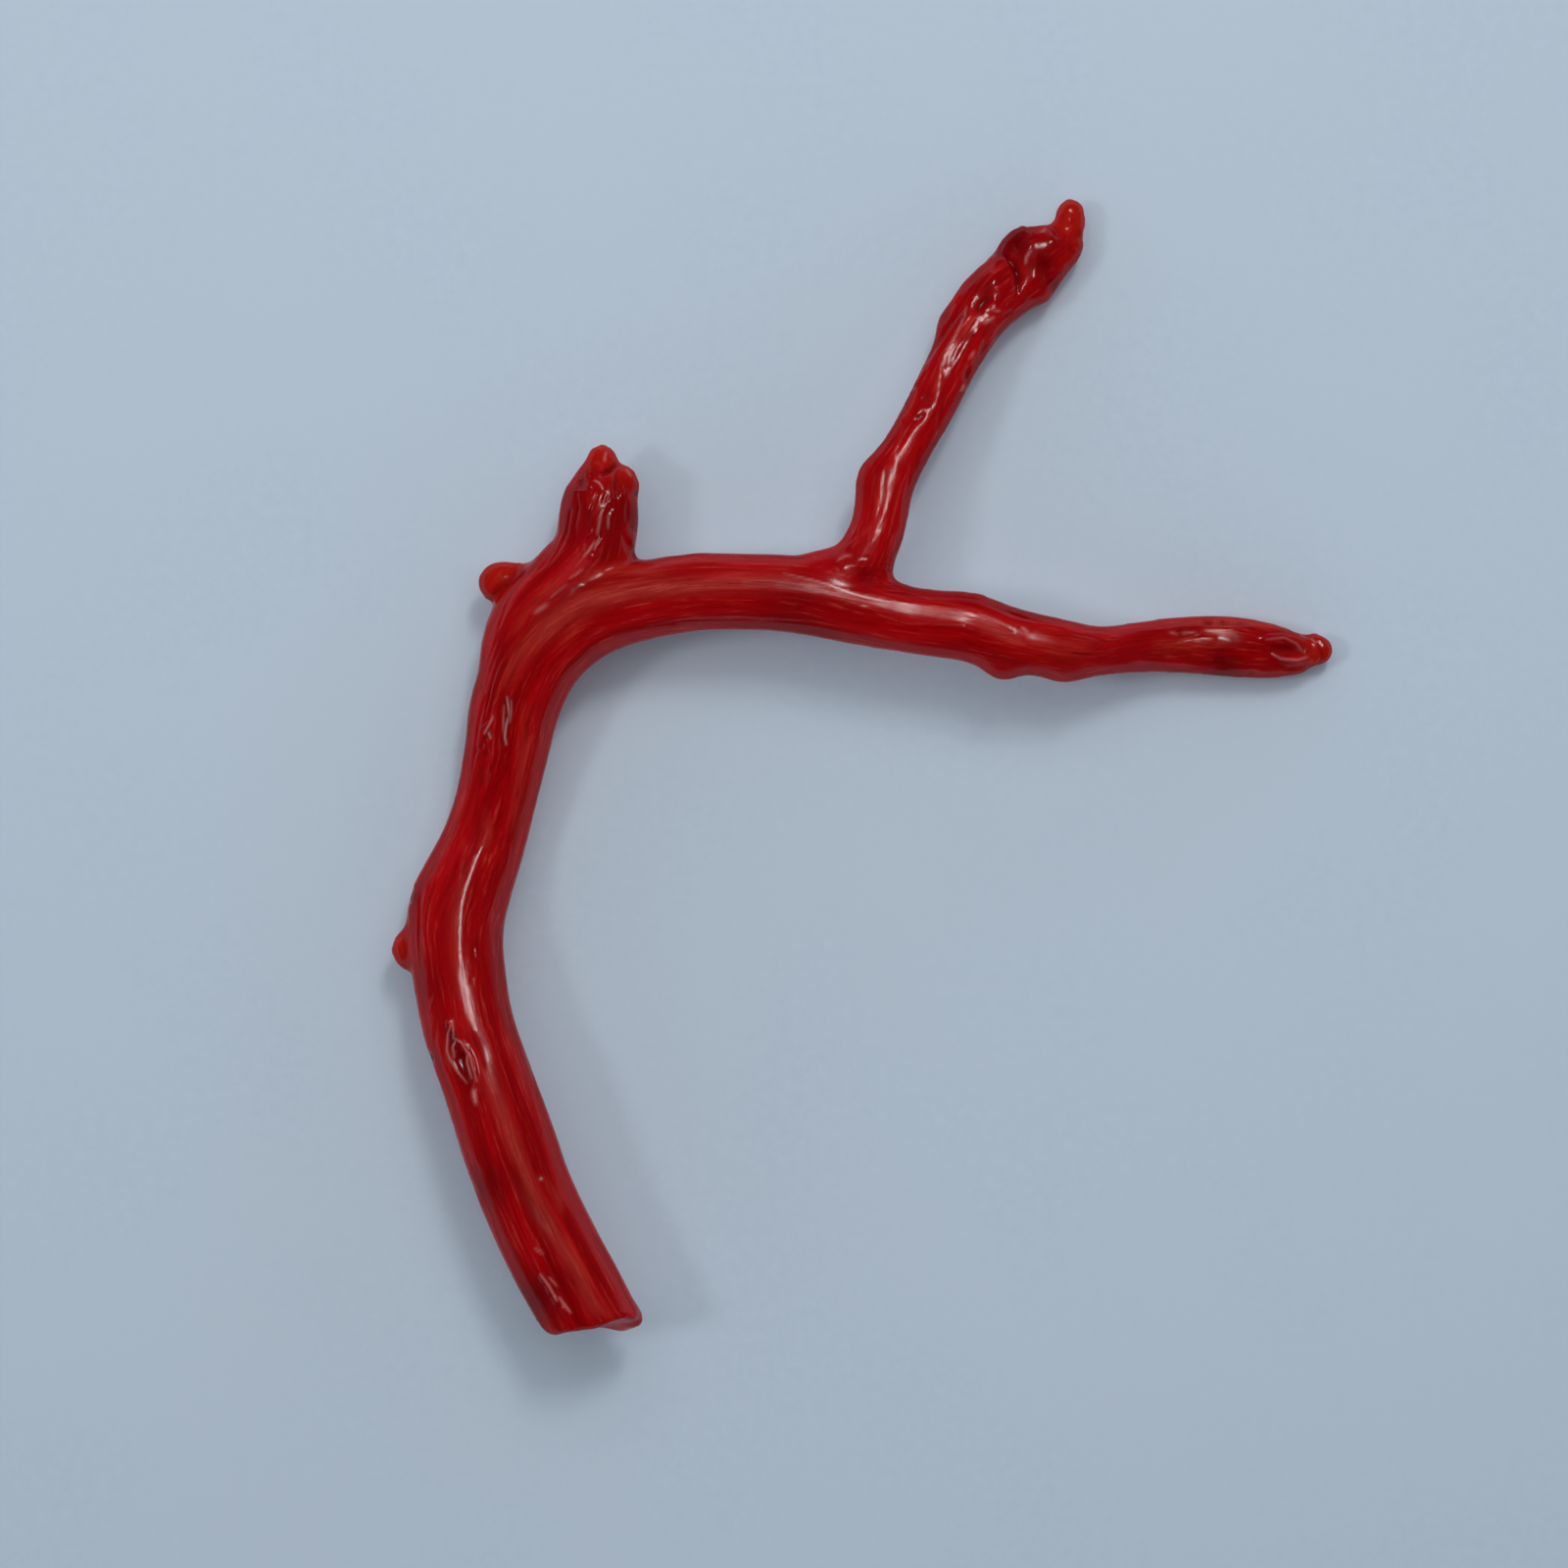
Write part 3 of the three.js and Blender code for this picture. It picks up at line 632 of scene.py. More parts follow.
# The gnarled end of the upper branch: lumps, pits and a deep recess before the tip.
UPPER_BRANCH_MARKS = [
    [-0.09, 0.1, (8.32, 21.87), (7.88, 21.29), (7.42, 20.65), (6.97, 20.07), (6.52, 19.26)],
    [0.07, 0.09, (8.5, 21.73), (8.05, 21.15), (7.56, 20.47), (7.06, 19.8), (6.66, 19.08)],
    [0.08, 0.08, (8.59, 21.51), (8.28, 21.06), (7.88, 20.56), (7.56, 20.02), (7.29, 19.57), (7.15, 19.12),
     (7.11, 18.54)],
    [-0.06, 0.12, (8.82, 21.24), (8.41, 20.61), (7.96, 19.93), (7.65, 19.26)],
    [0.11, 0.11, (9.18, 21.11), (9.54, 21.38)],
    [0.06, 0.05, (8.69, 20.56), (9, 20.88)],
    [-0.18, 0.24, (8.91, 21.64), (9.13, 22.09), (9.49, 22.41)],
    [0.07, 0.07, (9.22, 21.87), (9.22, 21.69)],
    [0.06, 0.07, (9.58, 22.36), (9.63, 22.14)],
    [0.08, 0.06, (9.45, 21.69), (9.72, 21.87), (9.95, 21.69)],
    [0.14, 0.42, (9.27, 23.58), (9.81, 22.95)],
    [-0.2, 0.18, (9.72, 24.43), (10.26, 24.25), (10.62, 23.8), (10.8, 23.22), (10.71, 22.54)],
    [0.06, 0.06, (10.48, 24.12), (10.66, 23.76)],
    [0.1, 0.42, (11.03, 25.24), (11.34, 25.38)],
    [0.04, 0.1, (11.88, 25.52), (12.01, 25.56)],
    [-0.17, 0.22, (10.71, 24.75), (10.8, 24.34)],
    [0.09, 0.08, (11.43, 24.7), (11.16, 24.34), (11.07, 23.94)],
    [0.08, 0.34, (11.79, 22.54), (11.97, 22.5)],
    [-0.12, 0.14, (12.55, 23.22), (12.15, 22.68)],
    [0.1, 0.3, (12.87, 24.03), (12.6, 23.62)],
    [-0.12, 0.2, (11.79, 24.21), (12.06, 23.62), (12.15, 23.04)],
    [0.08, 0.3, (12.06, 24.93), (12.51, 25.02)],
    [-0.1, 0.14, (12.33, 25.7), (12.6, 25.33), (12.69, 24.93)],
    [0.08, 0.2, (11.52, 23.45), (11.52, 23.09)],
    [0.05, 0.07, (10.98, 22.77), (10.84, 22.5)],
    [0.04, 0.06, (9.31, 20.02), (9.54, 20.56), (9.9, 20.84)],
    [-0.06, 0.12, (9.63, 20.38), (9.9, 20.61)],
    [0.08, 0.08, (8.64, 19.66), (8.5, 19.35)],
    [0.07, 0.07, (8.32, 19.26), (8.23, 18.95)],
    [0.08, 0.07, (8.23, 18.36), (8.14, 18.04)],
    [-0.09, 0.12, (8.41, 19.08), (8.28, 18.54)],
    [-0.14, 0.09, (6.34, 18.9), (6.03, 18.36), (5.76, 17.77), (5.49, 17.1)],
    [0.09, 0.06, (6.52, 18.99), (6.21, 18.45), (6.12, 18.09), (6.25, 17.68)],
    [0.08, 0.06, (5.98, 18.22), (5.8, 17.64), (5.58, 17.1)],
    [-0.08, 0.28, (6.52, 18), (6.61, 17.19)],
    [0.05, 0.18, (7.11, 18.86), (7.02, 18.18)],
    [0.05, 0.07, (8.82, 22.5), (8.55, 21.96)],
    [-0.09, 0.16, (7.74, 21.69), (7.47, 21.06)],
    [0.06, 0.08, (8.23, 22.5), (7.92, 21.96)],
    [0.06, 0.07, (12.82, 26.14), (13, 26.32), (13.14, 26.41)],
    [0.05, 0.06, (13.63, 25.61), (13.54, 25.29)],
    [-0.05, 0.12, (13.23, 26.05), (13.32, 25.92)],
    [-0.07, 0.1, (10.08, 21.51), (10.53, 21.78)],
    [0.06, 0.08, (10.26, 22.27), (10.04, 21.91)],
    [-0.06, 0.1, (7.42, 18), (7.2, 17.1), (6.97, 16.2)],
    [-0.03, 0.08, (7.74, 18.45), (7.47, 17.77), (7.2, 17.19)],
    [0.05, 0.12, (9, 20.47), (8.82, 19.8)],
    [-0.05, 0.1, (9.18, 20.25), (8.96, 19.71)],
]

# The outer branch: a crest with a slot in it, a swollen underside and soft hollows.
OUTER_BRANCH_MARKS = [
    [-0.06, 0.05, (7.11, 8.1), (7.47, 8.05), (7.92, 7.92)],
    [-0.06, 0.05, (9.86, 7.25), (10.17, 7.11), (10.48, 6.93)],
    [0.03, 0.05, (5.85, 7.29), (7.2, 7.2), (8.32, 7.15)],
    [0.04, 0.05, (6.08, 6.97), (6.75, 6.84), (7.29, 6.84)],
    [0.035, 0.05, (8.32, 6.71), (9.22, 6.71)],
    [0.035, 0.06, (8.32, 7.06), (8.64, 6.88)],
    [0.03, 0.05, (4.77, 7.42), (5.62, 7.33)],
    [0.04, 0.09, (8.55, 8.5), (9, 8.46), (9.18, 8.23)],
    [-0.03, 0.06, (9.22, 8.19), (10.12, 7.74), (11.03, 7.47)],
    [-0.03, 0.06, (9.72, 8.01), (10.8, 7.56), (11.7, 7.33)],
    [0.04, 0.05, (10.8, 7.15), (11.25, 6.97)],
    [-0.03, 0.2, (10.98, 5.22), (11.25, 5.13)],
    [-0.03, 0.07, (11.7, 5.22), (12.38, 5.13)],
    [0.04, 0.3, (11.25, 6.52), (12.38, 6.3), (13.5, 6.21)],
    [-0.03, 0.1, (12.6, 6.66), (13.5, 6.43)],
    [0.03, 0.06, (13.72, 7.02), (14.62, 6.84), (15.39, 6.61)],
    [-0.03, 0.06, (12.38, 6.97), (13.72, 6.75), (14.85, 6.48)],
    [0.05, 0.07, (17.77, 6.97), (18.09, 6.93)],
    [0.06, 0.07, (17.91, 7.11), (18.27, 7.2), (18.59, 7.2)],
    [0.06, 0.07, (17.91, 6.75), (18.45, 6.88), (19.08, 7.02)],
    [-0.06, 0.06, (18, 6.97), (18.36, 7.06), (18.72, 7.06)],
    [0.07, 0.1, (18.22, 6.48), (18.99, 6.61), (19.8, 6.71)],
    [0.04, 0.07, (18.81, 6.34), (19.8, 6.52)],
    [-0.16, 0.38, (19.71, 5.71), (20.52, 5.58)],
    [-0.03, 0.06, (18.86, 6.48), (19.44, 6.57)],
    [-0.17, 0.26, (22.41, 6.34), (23.31, 6.3), (24.03, 6.12)],
    [0.08, 0.1, (21.96, 6.75), (22.63, 6.84), (23.31, 6.75), (23.85, 6.52)],
    [0.11, 0.08, (22.54, 5.94), (22.86, 5.8), (23.4, 5.67), (23.94, 5.71), (24.3, 5.8)],
    [-0.06, 0.1, (22.5, 5.54), (23.31, 5.35), (24.07, 5.44)],
    [0.07, 0.12, (19.12, 7.2), (20.25, 7.11), (21.6, 7.2), (22.5, 7.15), (23.31, 7.02)],
    [-0.1, 0.11, (19.39, 7.42), (19.62, 7.38)],
    [-0.08, 0.11, (20.07, 7.42), (20.34, 7.38)],
    [-0.06, 0.09, (20.79, 7.38), (21.38, 7.29)],
    [0.06, 0.06, (24.34, 6.66), (24.52, 6.43)],
    [-0.1, 0.09, (23.89, 6.84), (24.3, 6.75), (24.7, 6.43), (24.79, 5.94), (24.66, 5.49)],
    [-0.1, 0.14, (21.38, 5), (21.55, 5.08)],
    [-0.05, 0.18, (21.6, 6.12), (21.51, 5.62)],
    [-0.03, 0.08, (15.75, 6.08), (17.1, 5.94), (18.45, 5.89)],
    [0.03, 0.08, (16.2, 6.48), (17.32, 6.43)],
    [-0.04, 0.12, (16.43, 5.49), (17.32, 5.44)],
    [0.04, 0.1, (18.68, 5.31), (19.57, 5.22)],
    [-0.03, 0.08, (14.4, 5.76), (15.75, 5.62)],
    [-0.03, 0.1, (13.95, 6.21), (15.3, 6.03)],
]

SHORTEST_LINE = 0.25          # a mark shorter than this is a dot, as strong at its ends


def stroke(width, line):
    """How strongly a line of a given width covers each point: 1 on it, 0 away from it."""
    line = np.array(line, float)
    low = line.min(axis=0) - 3 * width
    high = line.max(axis=0) + 3 * width
    near = ((points[:, :2] > low) & (points[:, :2] < high)).all(axis=1)
    gap, along = distance_to(line, points[near, :2])
    fading = 0.35 + 0.65 * np.sqrt(np.abs(np.sin(math.pi * along)))
    is_dot = np.linalg.norm(line[-1] - line[0]) < SHORTEST_LINE
    cover = np.zeros(len(points))
    cover[near] = np.exp(-(gap / width) ** 2) * (1 if is_dot else fading)
    return cover


HOLLOW_DEPTH = 0.2            # a mark this deep gets the darkest painted shade

# Creases and pits get painted shade: the deeper a mark below zero, the darker the red.
hollow = np.zeros(len(points))
normals = read_skin("normal", skin_mesh.vertices)
seen_from_above = smoothly(normals[:, 2], -0.15, 0.2)
for marks in (FOOT_MARKS, STEM_MARKS, BEND_MARKS, SHORT_BRANCH_MARKS, ARM_MARKS, FORK_MARKS,
              UPPER_BRANCH_MARKS, OUTER_BRANCH_MARKS):
    for height, width, *line in marks:
        mark = height * seen_from_above * stroke(width, line)
        relief += mark
        hollow -= np.minimum(mark, 0)
painted_shade_and_dark_red = np.minimum(hollow / HOLLOW_DEPTH, 1)

# The ground foot
# The sawn face was ground on a wheel: it is slightly hollow, and on the right the upper
# rim is worn back while a lip is left standing below it.

FOOT_HOLLOW = 0.25            # how deep the face is ground out in the middle
FOOT_LIP = 0.32               # how far the lip stands out and the rim above is worn back
FOOT_CORNER = 0.12            # how far the left corner stands out

foot_out = np.array(FOOT_OUT)
from_foot = points - FOOT_MIDDLE
near_face = smoothly(from_foot @ foot_out, -0.9, -0.15)
on_face = smoothly(normals @ foot_out, 0.5, 0.9) * near_face
relief -= FOOT_HOLLOW * on_face * np.exp(-((from_foot[:, [0, 2]] / 1.3) ** 2).sum(1))
to_the_right = smoothly(points[:, 0], -8.8, -7.1)
above_middle = np.clip(from_foot[:, 2] / 1.2, -1, 1)
corner = FOOT_CORNER * np.exp(-((points[:, 0] + 10.5) / 0.5) ** 2)
lip = FOOT_LIP * to_the_right * above_middle
points += normals * relief[:, None]
points += foot_out * (near_face * (corner - lip))[:, None]
points[:, 2] = np.maximum(points[:, 2], 0)

# The streaks and their painted sheen
# Some lengthways streaks take a poorer polish, so they are rougher, and their orange
# is painted sheen: the soft reflection of the window on the duller polish. Each is a
# strength, a width and its line.

DULL_SHEEN_STREAKS = [
    [1, 0.4, (-12.6, 4.77), (-12.15, 5.76), (-11.03, 6.84), (-10.12, 7.65), (-8.96, 8.37), (-7.88, 8.73),
     (-6.75, 8.91), (-4.5, 9), (-2.25, 9.18), (0, 9.36)],
    [0.7, 0.3, (-9, 9.45), (-7.88, 9.76), (-6.75, 9.76), (-5.4, 9.54)],
    [0.5, 0.22, (-14.67, -4.5), (-14.89, -6.3), (-14.94, -8.1), (-14.85, -9.45)],
    [1, 0.3, (-13.5, -13.28), (-12.96, -14.62), (-12.38, -15.97), (-11.83, -17.55), (-10.98, -19.62),
     (-10.12, -20.79), (-9.36, -22.05), (-8.78, -23.4), (-8.01, -24.12)],
    [0.6, 0.18, (-10.8, -18), (-10.35, -18.68), (-10.08, -19.44)],
    [0.7, 0.16, (0.67, 9), (2.25, 8.64), (3.6, 8.32), (5.85, 7.96), (7.2, 7.74)],
    [0.9, 0.28, (9, 7.38), (9.9, 6.84), (10.8, 6.48)],
    [0.7, 0.45, (11.25, 6.52), (12.6, 6.21), (13.72, 6.21)],
    [0.8, 0.28, (17.1, 6.3), (18.45, 6.39), (20.25, 6.48)],
    [0.7, 0.22, (-13.63, -1.57), (-13.54, -2.25), (-13.77, -2.88)],
    [0.6, 0.16, (-10.12, 9.45), (-11.03, 8.69), (-11.7, 7.88), (-12.24, 6.97)],
    [0.5, 0.25, (-11.7, 3.6), (-12.01, 0.9), (-12.42, -2.25)],
    [0.4, 0.3, (4.72, 13.72), (4.63, 12.82)],
    [0.5, 0.18, (7.06, 18.68), (6.97, 18)],
    [0.4, 0.3, (-8.78, 7.88), (-9.45, 7.2), (-10.12, 6.3)],
    [0.5, 0.25, (23.62, 6.52), (24.07, 5.94), (23.85, 5.49)],
    [0.6, 0.2, (17.55, 7.2), (19.35, 7.47), (21.15, 7.51), (22.95, 7.11)],
    [0.9, 0.28, (19.35, 7.06), (19.93, 6.93), (20.61, 6.71)],
    [0.8, 0.2, (-9, 9.4), (-8.46, 9.58), (-7.83, 9.86)],
]


def lay_lines(lines):
    """How strongly a list of lines covers each point of the skin, where seen from above."""
    cover = np.zeros(len(points))
    for strength, width, *line in lines:
        cover = np.maximum(cover, strength * stroke(width, line))
    return cover * seen_from_above


dull_and_sheen = lay_lines(DULL_SHEEN_STREAKS)

# The painted glints
# Round the pits and along the sharpest ridges, fine pale lines are painted glints of the
# window, laid into the colour. Each is a strength, a width and its line.

PAINTED_GLINT_LINES = [
    [0.77, 0.045, (-12.64, 4), (-12.58, 3.51), (-12.55, 3.1)],
    [0.77, 0.049, (-12.6, 3.06), (-12.71, 2.61), (-12.76, 2.16), (-12.69, 1.8)],
    [0.42, 0.042, (-12.78, 3.6), (-12.82, 2.92), (-12.8, 2.25)],
    [0.42, 0.042, (-12.44, 3.82), (-12.46, 3.24), (-12.53, 2.79)],
    [0.59, 0.045, (-13.72, 2.29), (-13.54, 2.61), (-13.37, 2.88), (-13.3, 3.1)],
    [0.42, 0.053, (-13.5, 2.34), (-13.41, 2.11)],
    [0.51, 0.041, (-15.07, -10.71), (-15.3, -11.38), (-15.34, -12.11), (-15.21, -12.51), (-14.85, -13.05),
     (-14.4, -13.59)],
    [0.59, 0.045, (-15.07, -10.71), (-15.03, -11.56), (-14.67, -11.74), (-14.45, -12.11), (-14.26, -12.38),
     (-14.08, -13.05), (-13.95, -13.5)],
    [0.51, 0.042, (-14.89, -11.56), (-15.07, -11.97), (-14.98, -12.46)],
    [0.51, 0.042, (-14.4, -12.24), (-14.4, -12.69), (-14.17, -13.37)],
    [0.68, 0.083, (-14.08, -13.9), (-13.99, -14.49)],
    [0.34, 0.045, (-14.08, -3.24), (-14.31, -4.05), (-14.58, -4.86)],
    [0.34, 0.06, (-11.29, -21.06), (-10.93, -21.29)],
    [0.59, 0.045, (-11.07, -22.23), (-10.66, -22.77), (-10.3, -23.45)],
    [0.42, 0.045, (-10.66, -22.36), (-10.3, -22.77)],
    [0.59, 0.053, (-10.21, -23.27), (-9.95, -23.62), (-9.67, -23.98)],
    [0.77, 0.053, (-11.05, -17.89), (-11, -17.93)],
    [0.42, 0.053, (-8.14, 15.21), (-8.23, 14.76)],
    [0.59, 0.041, (-8.64, 13.86), (-8.46, 13.77), (-8.28, 13.54)],
    [0.42, 0.045, (-7.2, 14.4), (-7.02, 14.08)],
    [0.51, 0.053, (-8.28, 12.55), (-8.41, 11.97), (-8.5, 11.38)],
    [0.34, 0.053, (-8.01, 12.24), (-8.01, 11.65)],
    [0.51, 0.053, (-8.64, 11.03), (-8.87, 10.66), (-9.13, 10.39)],
    [0.42, 0.045, (-8.5, 11.12), (-8.64, 10.66)],
    [0.34, 0.09, (-11.34, 7.79), (-10.8, 8.19)],
    [0.34, 0.042, (-9.18, 9.76), (-9.76, 9.36)],
    [0.26, 0.042, (-9.9, 9.13), (-10.66, 8.46)],
    [0.51, 0.053, (8.82, 7.74), (9.45, 7.51), (9.99, 7.25), (10.89, 6.84)],
    [0.34, 0.042, (0, 9.58), (1.35, 9.27), (3.15, 8.69), (5.04, 8.32)],
    [0.26, 0.042, (5.85, 8.19), (7.88, 7.92), (9, 7.65)],
    [0.42, 0.053, (2.43, 10.17), (2.7, 10.35), (3.01, 10.39)],
    [0.42, 0.053, (8.37, 21.87), (8.23, 21.33), (7.88, 20.61), (7.51, 19.98), (7.2, 19.17), (7.15, 18.63)],
    [0.51, 0.068, (9.18, 21.11), (9.63, 21.42)],
    [0.42, 0.053, (9.54, 21.78), (9.9, 21.69)],
    [0.42, 0.06, (8.5, 19.48), (8.73, 19.84)],
    [0.51, 0.06, (8.14, 18.04), (8.23, 18.27)],
    [0.51, 0.06, (11.12, 23.94), (11.16, 24.25), (11.38, 24.57)],
    [0.34, 0.06, (11.88, 25.47), (12.01, 25.56)],
    [0.51, 0.053, (18.86, 6.57), (19.26, 6.66), (19.66, 6.66)],
    [0.34, 0.045, (17.73, 6.97), (18.09, 6.88)],
    [0.34, 0.045, (18.31, 6.93), (18.95, 6.97)],
    [0.42, 0.053, (22.5, 5.98), (22.86, 5.76), (23.62, 5.71), (24.12, 5.85)],
    [0.26, 0.053, (22.18, 6.66), (23.04, 6.75), (23.62, 6.48), (23.89, 6.12)],
    [0.42, 0.045, (24.34, 6.71), (24.52, 6.52)],
]

painted_glints = lay_lines(PAINTED_GLINT_LINES)

# The tips
# Fresh skeleton at the ends and in the buds is thin and clear, and so is the lip at the
# foot, so light gets through; that glow is painted on as a brighter, more orange red.
# Each glowing end is a middle and how far it reaches.

GLOWING_ENDS = [
    [(13.2, 26.1, 1.4), 1.0],
    [(24.6, 6.2, 1.1), 0.9],
    [(-8.35, 15.4, 3.3), 1.1],
    [(-7.3, 14.2, 3.5), 1.0],
    [(-13.1, 9.4, 2.6), 1.1],
    [(-17.4, -7.6, 2.6), 0.9],
    [(-6.9, -24.9, 3.8), 1.2],
]

painted_glow = np.zeros(len(points))
for middle, reach in GLOWING_ENDS:
    painted_glow = np.maximum(painted_glow, np.exp(-((points - middle) ** 2).sum(1) / reach ** 2))

# The dark patches
# In these patches the red is darker, almost crimson; the two smallest, on the left of
# the stem, are painted shade in a pit and a nick. Each patch is where it lies seen from
# above, how wide it is and how dark.

DARK_PATCHES = [
    [(10.7, 25.0), 1.0, 0.9],
    [(11.9, 24.0), 0.7, 0.8],
    [(12.3, 25.0), 0.6, 0.5],
    [(9.2, 22.8), 0.8, 0.5],
    [(-11.1, -23.4), 1.3, 0.8],
    [(-13.3, -18.2), 1.2, 0.6],
    [(-7.0, 12.3), 0.7, 0.6],
    [(-8.6, 12.0), 1.7, 0.5],
    [(-9.9, 13.2), 0.7, 0.5],
    [(20.3, 5.3), 0.9, 0.7],
    [(23.0, 6.3), 0.8, 0.4],
    [(-16.0, -9.0), 1.0, 0.4],
    [(0.5, 8.0), 1.3, 0.5],
    [(-17.0, -5.2), 0.35, 0.6],
    [(-16.1, -12.5), 0.25, 0.6],
]

for middle, reach, strength in DARK_PATCHES:
    away = ((points[:, :2] - middle) ** 2).sum(1) / reach ** 2
    painted_shade_and_dark_red = np.maximum(painted_shade_and_dark_red, strength * np.exp(-away))

# Placing the skin
# The measures so far are in millimetres from a point on the table beside the branch. The
# part's origin is on the table under the middle of the branch, and it is in metres.

ORIGIN = np.array([3.64, 0.732, 0.0])

skin_mesh.vertices.foreach_set("co", ((points - ORIGIN) * MM).ravel())


def keep_on_skin(name, values):
    """Stores a value, or a direction, for each point of the skin."""
    kind = "FLOAT_VECTOR" if values.ndim == 2 else "FLOAT"
    attribute = skin_mesh.attributes.new(name, kind, "POINT")
    field = "vector" if values.ndim == 2 else "value"
    attribute.data.foreach_set(field, np.ascontiguousarray(values, np.float32).ravel())


keep_on_skin("main_grain", main_grain)
keep_on_skin("side_grain", side_grain)
keep_on_skin("side_share", side_share)
keep_on_skin("dull_and_sheen", dull_and_sheen)
keep_on_skin("painted_glints", painted_glints)
keep_on_skin("painted_glow", painted_glow)
keep_on_skin("painted_shade_and_dark_red", painted_shade_and_dark_red)
skin_mesh.update()

coral = put_in_scene("coral_branch", skin_mesh)
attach(coral, "root")
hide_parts("main_stem", "short_branch", "arm", "upper_branch", "outer_branch")

# The polish
# Polished precious coral: deep red all through, glossy, and slightly clear where thin,
# with the glow of the thin ends painted in. Fine growth lines show in the gloss, and the
# dull streaks, their orange a painted sheen, run into one another.


def mottle(place, scale, detail, roughness):
    """A noise in the tree being built, read at the place that a socket gives."""
    node = tree.nodes.new("ShaderNodeTexNoise")
    node.inputs["Scale"].default_value = scale
    node.inputs["Detail"].default_value = detail
    node.inputs["Roughness"].default_value = roughness
    tree.links.new(place, node.inputs["Vector"])
    return node.outputs["Fac"]


growth_lines = bpy.data.node_groups.new("growth lines", "ShaderNodeTree")
growth_lines.interface.new_socket("Grain", in_out="INPUT", socket_type="NodeSocketVector")
growth_lines.interface.new_socket("Lines", in_out="OUTPUT", socket_type="NodeSocketFloat")
growth_lines.interface.new_socket("Streaks", in_out="OUTPUT", socket_type="NodeSocketFloat")
tree = growth_lines
grain_in = tree.nodes.new("NodeGroupInput").outputs["Grain"]
lines_out = tree.nodes.new("NodeGroupOutput")
tree.links.new(mottle(grain_in, 6.5, 4, 0.65), lines_out.inputs["Lines"])
tree.links.new(mottle(grain_in, 1.3, 4, 0.55), lines_out.inputs["Streaks"])

red_coral = bpy.data.materials.new("polished_red_coral")
red_coral.use_nodes = True
tree = red_coral.node_tree
shader = tree.nodes["Principled BSDF"]


def from_skin(name):
    node = tree.nodes.new("ShaderNodeAttribute")
    node.attribute_name = name
    return node


def blend(kind, share, first, second):
    """A mix of two colours or two values; each may be a constant or a socket."""
    node = tree.nodes.new("ShaderNodeMix")
    node.data_type = kind
    names = {"FLOAT": (2, 3, 0), "RGBA": (6, 7, 2)}[kind]
    for socket, value in ((node.inputs[0], share), (node.inputs[names[0]], first),
                          (node.inputs[names[1]], second)):
        if isinstance(value, bpy.types.NodeSocket):
            tree.links.new(value, socket)
        else:
            socket.default_value = value
    return node.outputs[names[2]]


def spread(value, low, high, at_low=0, at_high=1):
    """Stretches a value so that low becomes at_low and high becomes at_high."""
    node = tree.nodes.new("ShaderNodeMapRange")
    node.inputs["From Min"].default_value = low
    node.inputs["From Max"].default_value = high
    node.inputs["To Min"].default_value = at_low
    node.inputs["To Max"].default_value = at_high
    tree.links.new(value, node.inputs["Value"])
    return node.outputs["Result"]


lines = {}
for limb in ("main_grain", "side_grain"):
    lines[limb] = tree.nodes.new("ShaderNodeGroup")
    lines[limb].node_tree = growth_lines
    tree.links.new(from_skin(limb).outputs["Vector"], lines[limb].inputs["Grain"])
which_limb = from_skin("side_share").outputs["Fac"]
fine_lines = blend(
    "FLOAT", which_limb, lines["main_grain"].outputs["Lines"], lines["side_grain"].outputs["Lines"])
streaks = blend(
    "FLOAT", which_limb, lines["main_grain"].outputs["Streaks"], lines["side_grain"].outputs["Streaks"])

deep = blend("RGBA", spread(streaks, 0.35, 0.65), (0.3, 0.0012, 0.0025, 1), (0.48, 0.0016, 0.0035, 1))
deep = blend("RGBA", spread(fine_lines, 0.48, 0.25), deep, (0.2, 0.001, 0.002, 1))
deep = blend("RGBA", spread(fine_lines, 0.56, 0.77), deep, (0.58, 0.04, 0.03, 1))
dull_sheen_mask = tree.nodes.new("ShaderNodeMath")
dull_sheen_mask.operation = "MULTIPLY"
tree.links.new(from_skin("dull_and_sheen").outputs["Fac"], dull_sheen_mask.inputs[0])
tree.links.new(spread(fine_lines, 0.2, 0.6), dull_sheen_mask.inputs[1])
# Painted sheen: the dull streaks are laid in a paler orange where the window's soft reflection falls.
with_painted_sheen = blend("RGBA", dull_sheen_mask.outputs[0], deep, (0.46, 0.026, 0.014, 1))
# Painted glow: the thin ends, the buds and the foot's lip are laid in a brighter red.
with_painted_glow = blend("RGBA", from_skin("painted_glow").outputs["Fac"], with_painted_sheen, (0.5, 0.012, 0.004, 1))
# Painted shade in the creases and pits, and the darker patches of red.
with_painted_shade = blend("RGBA", from_skin("painted_shade_and_dark_red").outputs["Fac"], with_painted_glow, (0.15, 0.0003, 0.002, 1))
# Painted glints: fine pale lines round the pits and along the sharpest ridges.
with_painted_glints = blend("RGBA", from_skin("painted_glints").outputs["Fac"], with_painted_shade, (0.75, 0.3, 0.28, 1))
tree.links.new(with_painted_glints, shader.inputs["Base Color"])
gloss = blend("FLOAT", spread(streaks, 0.3, 0.7), 0.13, 0.2)
gloss = blend("FLOAT", dull_sheen_mask.outputs[0], gloss, 0.32)
gloss = blend("FLOAT", from_skin("painted_glints").outputs["Fac"], gloss, 0.4)
tree.links.new(gloss, shader.inputs["Roughness"])
ripple = tree.nodes.new("ShaderNodeBump")
ripple.inputs["Distance"].default_value = 0.00001
ripple.inputs["Strength"].default_value = 1.0
tree.links.new(fine_lines, ripple.inputs["Height"])
tree.links.new(ripple.outputs["Normal"], shader.inputs["Normal"])
shader.inputs["Subsurface Weight"].default_value = 0.35
shader.inputs["Subsurface Radius"].default_value = (1.0, 0.12, 0.08)
shader.inputs["Subsurface Scale"].default_value = 0.0004
shader.inputs["IOR"].default_value = 1.5

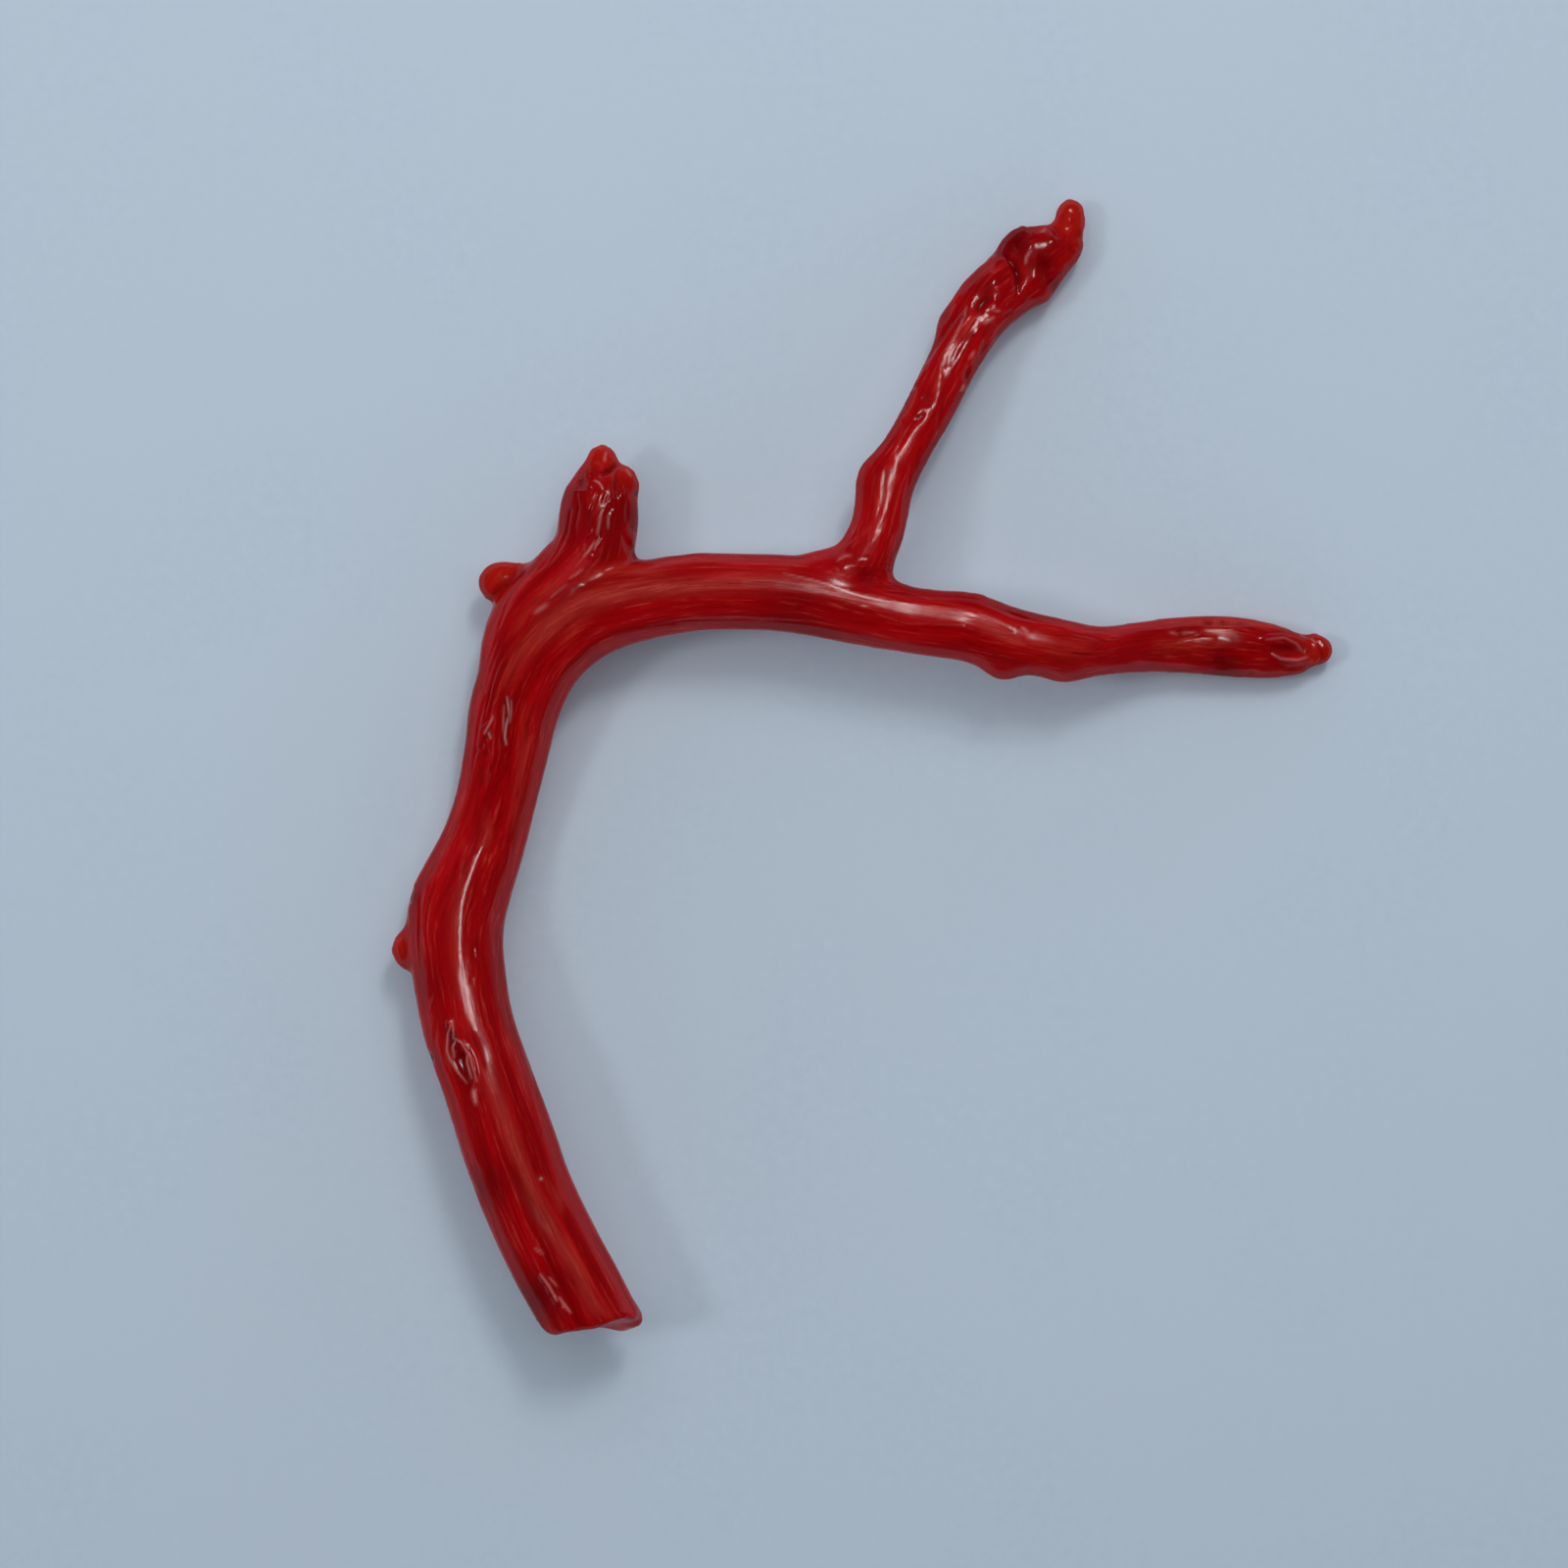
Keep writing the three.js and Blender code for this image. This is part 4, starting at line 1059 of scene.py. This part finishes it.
# The flanks take a duller polish than the crests, so they mirror less of the room.
flank = tree.nodes.new("ShaderNodeLayerWeight")
flank.inputs["Blend"].default_value = 0.5
mirror = spread(flank.outputs["Facing"], 0.08, 0.6, 0.5, 0.03)
tree.links.new(mirror, shader.inputs["Specular IOR Level"])
skin_mesh.materials.append(red_coral)

# The table, the light and the camera
# The coral lies loose on a plain pale floor and is seen from straight above. One tall
# window gives the highlights, and softer light from the left and above fills the rest.

FRAME_WIDTH = 0.072
CAMERA_HEIGHT = 0.3
CORAL_MIDDLE = 0.003          # half way up the coral, where the frame's width is taken
VIEW_MIDDLE = (-0.00364, -0.00073)

floor_mesh = bpy.data.meshes.new("floor")
floor_shape = bmesh.new()
bmesh.ops.create_grid(floor_shape, x_segments=1, y_segments=1, size=0.6)
floor_shape.to_mesh(floor_mesh)
floor_shape.free()
floor = put_in_scene("floor", floor_mesh)
pale = bpy.data.materials.new("pale_floor")
pale.use_nodes = True
tree = pale.node_tree
paper = tree.nodes["Principled BSDF"]
paper.inputs["Roughness"].default_value = 0.9
where = tree.nodes.new("ShaderNodeTexCoord").outputs["Object"]
fibres = spread(mottle(where, 1800, 4, 0.7), 0.3, 0.7)
clouds = spread(mottle(where, 90, 3, 0.5), 0.35, 0.65)
grey, white = (0.595, 0.705, 0.815, 1), (0.635, 0.745, 0.855, 1)
shade = blend("RGBA", fibres, grey, white)
shade = blend("RGBA", clouds, shade, (0.625, 0.73, 0.835, 1))
tree.links.new(shade, paper.inputs["Base Color"])
floor_mesh.materials.append(pale)


def soft_light(name, azimuth, elevation, distance, width, height, power):
    """A soft light that looks at the coral from an azimuth and elevation."""
    lamp = bpy.data.lights.new(name, "AREA")
    lamp.shape = "RECTANGLE"
    lamp.size = width
    lamp.size_y = height
    lamp.energy = power
    toward = Vector((
        math.cos(math.radians(azimuth)) * math.cos(math.radians(elevation)),
        math.sin(math.radians(azimuth)) * math.cos(math.radians(elevation)),
        math.sin(math.radians(elevation))))
    holder = put_in_scene(name, lamp)
    holder.location = toward * distance
    holder.rotation_euler = toward.to_track_quat("Z", "Y").to_euler()
    return holder


soft_light("window", 71, 60, 0.5, 0.05, 0.125, 0.41)
lamp = soft_light("lamp", 180, 55, 0.5, 0.08, 0.08, 0.26)
lamp.visible_glossy = False
ceiling = soft_light("ceiling", 96, 66, 0.2, 0.2, 0.2, 0.15)
ceiling.rotation_euler = (0, 0, 0)
ceiling.visible_glossy = False

# The rest of the room sends in light from all round, least of all from overhead.
world = bpy.data.worlds.new("studio")
world.use_nodes = True
tree = world.node_tree
direction = tree.nodes.new("ShaderNodeTexCoord")
split = tree.nodes.new("ShaderNodeSeparateXYZ")
tree.links.new(direction.outputs["Generated"], split.inputs["Vector"])
overhead = spread(split.outputs["Z"], 0.2, 0.85, 0.68, 0.02)
overhead.node.interpolation_type = "SMOOTHSTEP"
background = tree.nodes["Background"]
background.inputs["Color"].default_value = (0.78, 0.88, 1.0, 1)
tree.links.new(overhead, background.inputs["Strength"])
bpy.context.scene.world = world
world.cycles_visibility.glossy = False
bpy.context.scene.view_settings.view_transform = "Standard"

eye = bpy.data.cameras.new("camera")
eye.sensor_width = 36
eye.lens = eye.sensor_width * (CAMERA_HEIGHT - CORAL_MIDDLE) / FRAME_WIDTH
eye.clip_start = 0.01
camera = put_in_scene("camera", eye)
camera.location = (*VIEW_MIDDLE, CAMERA_HEIGHT)
bpy.context.scene.camera = camera
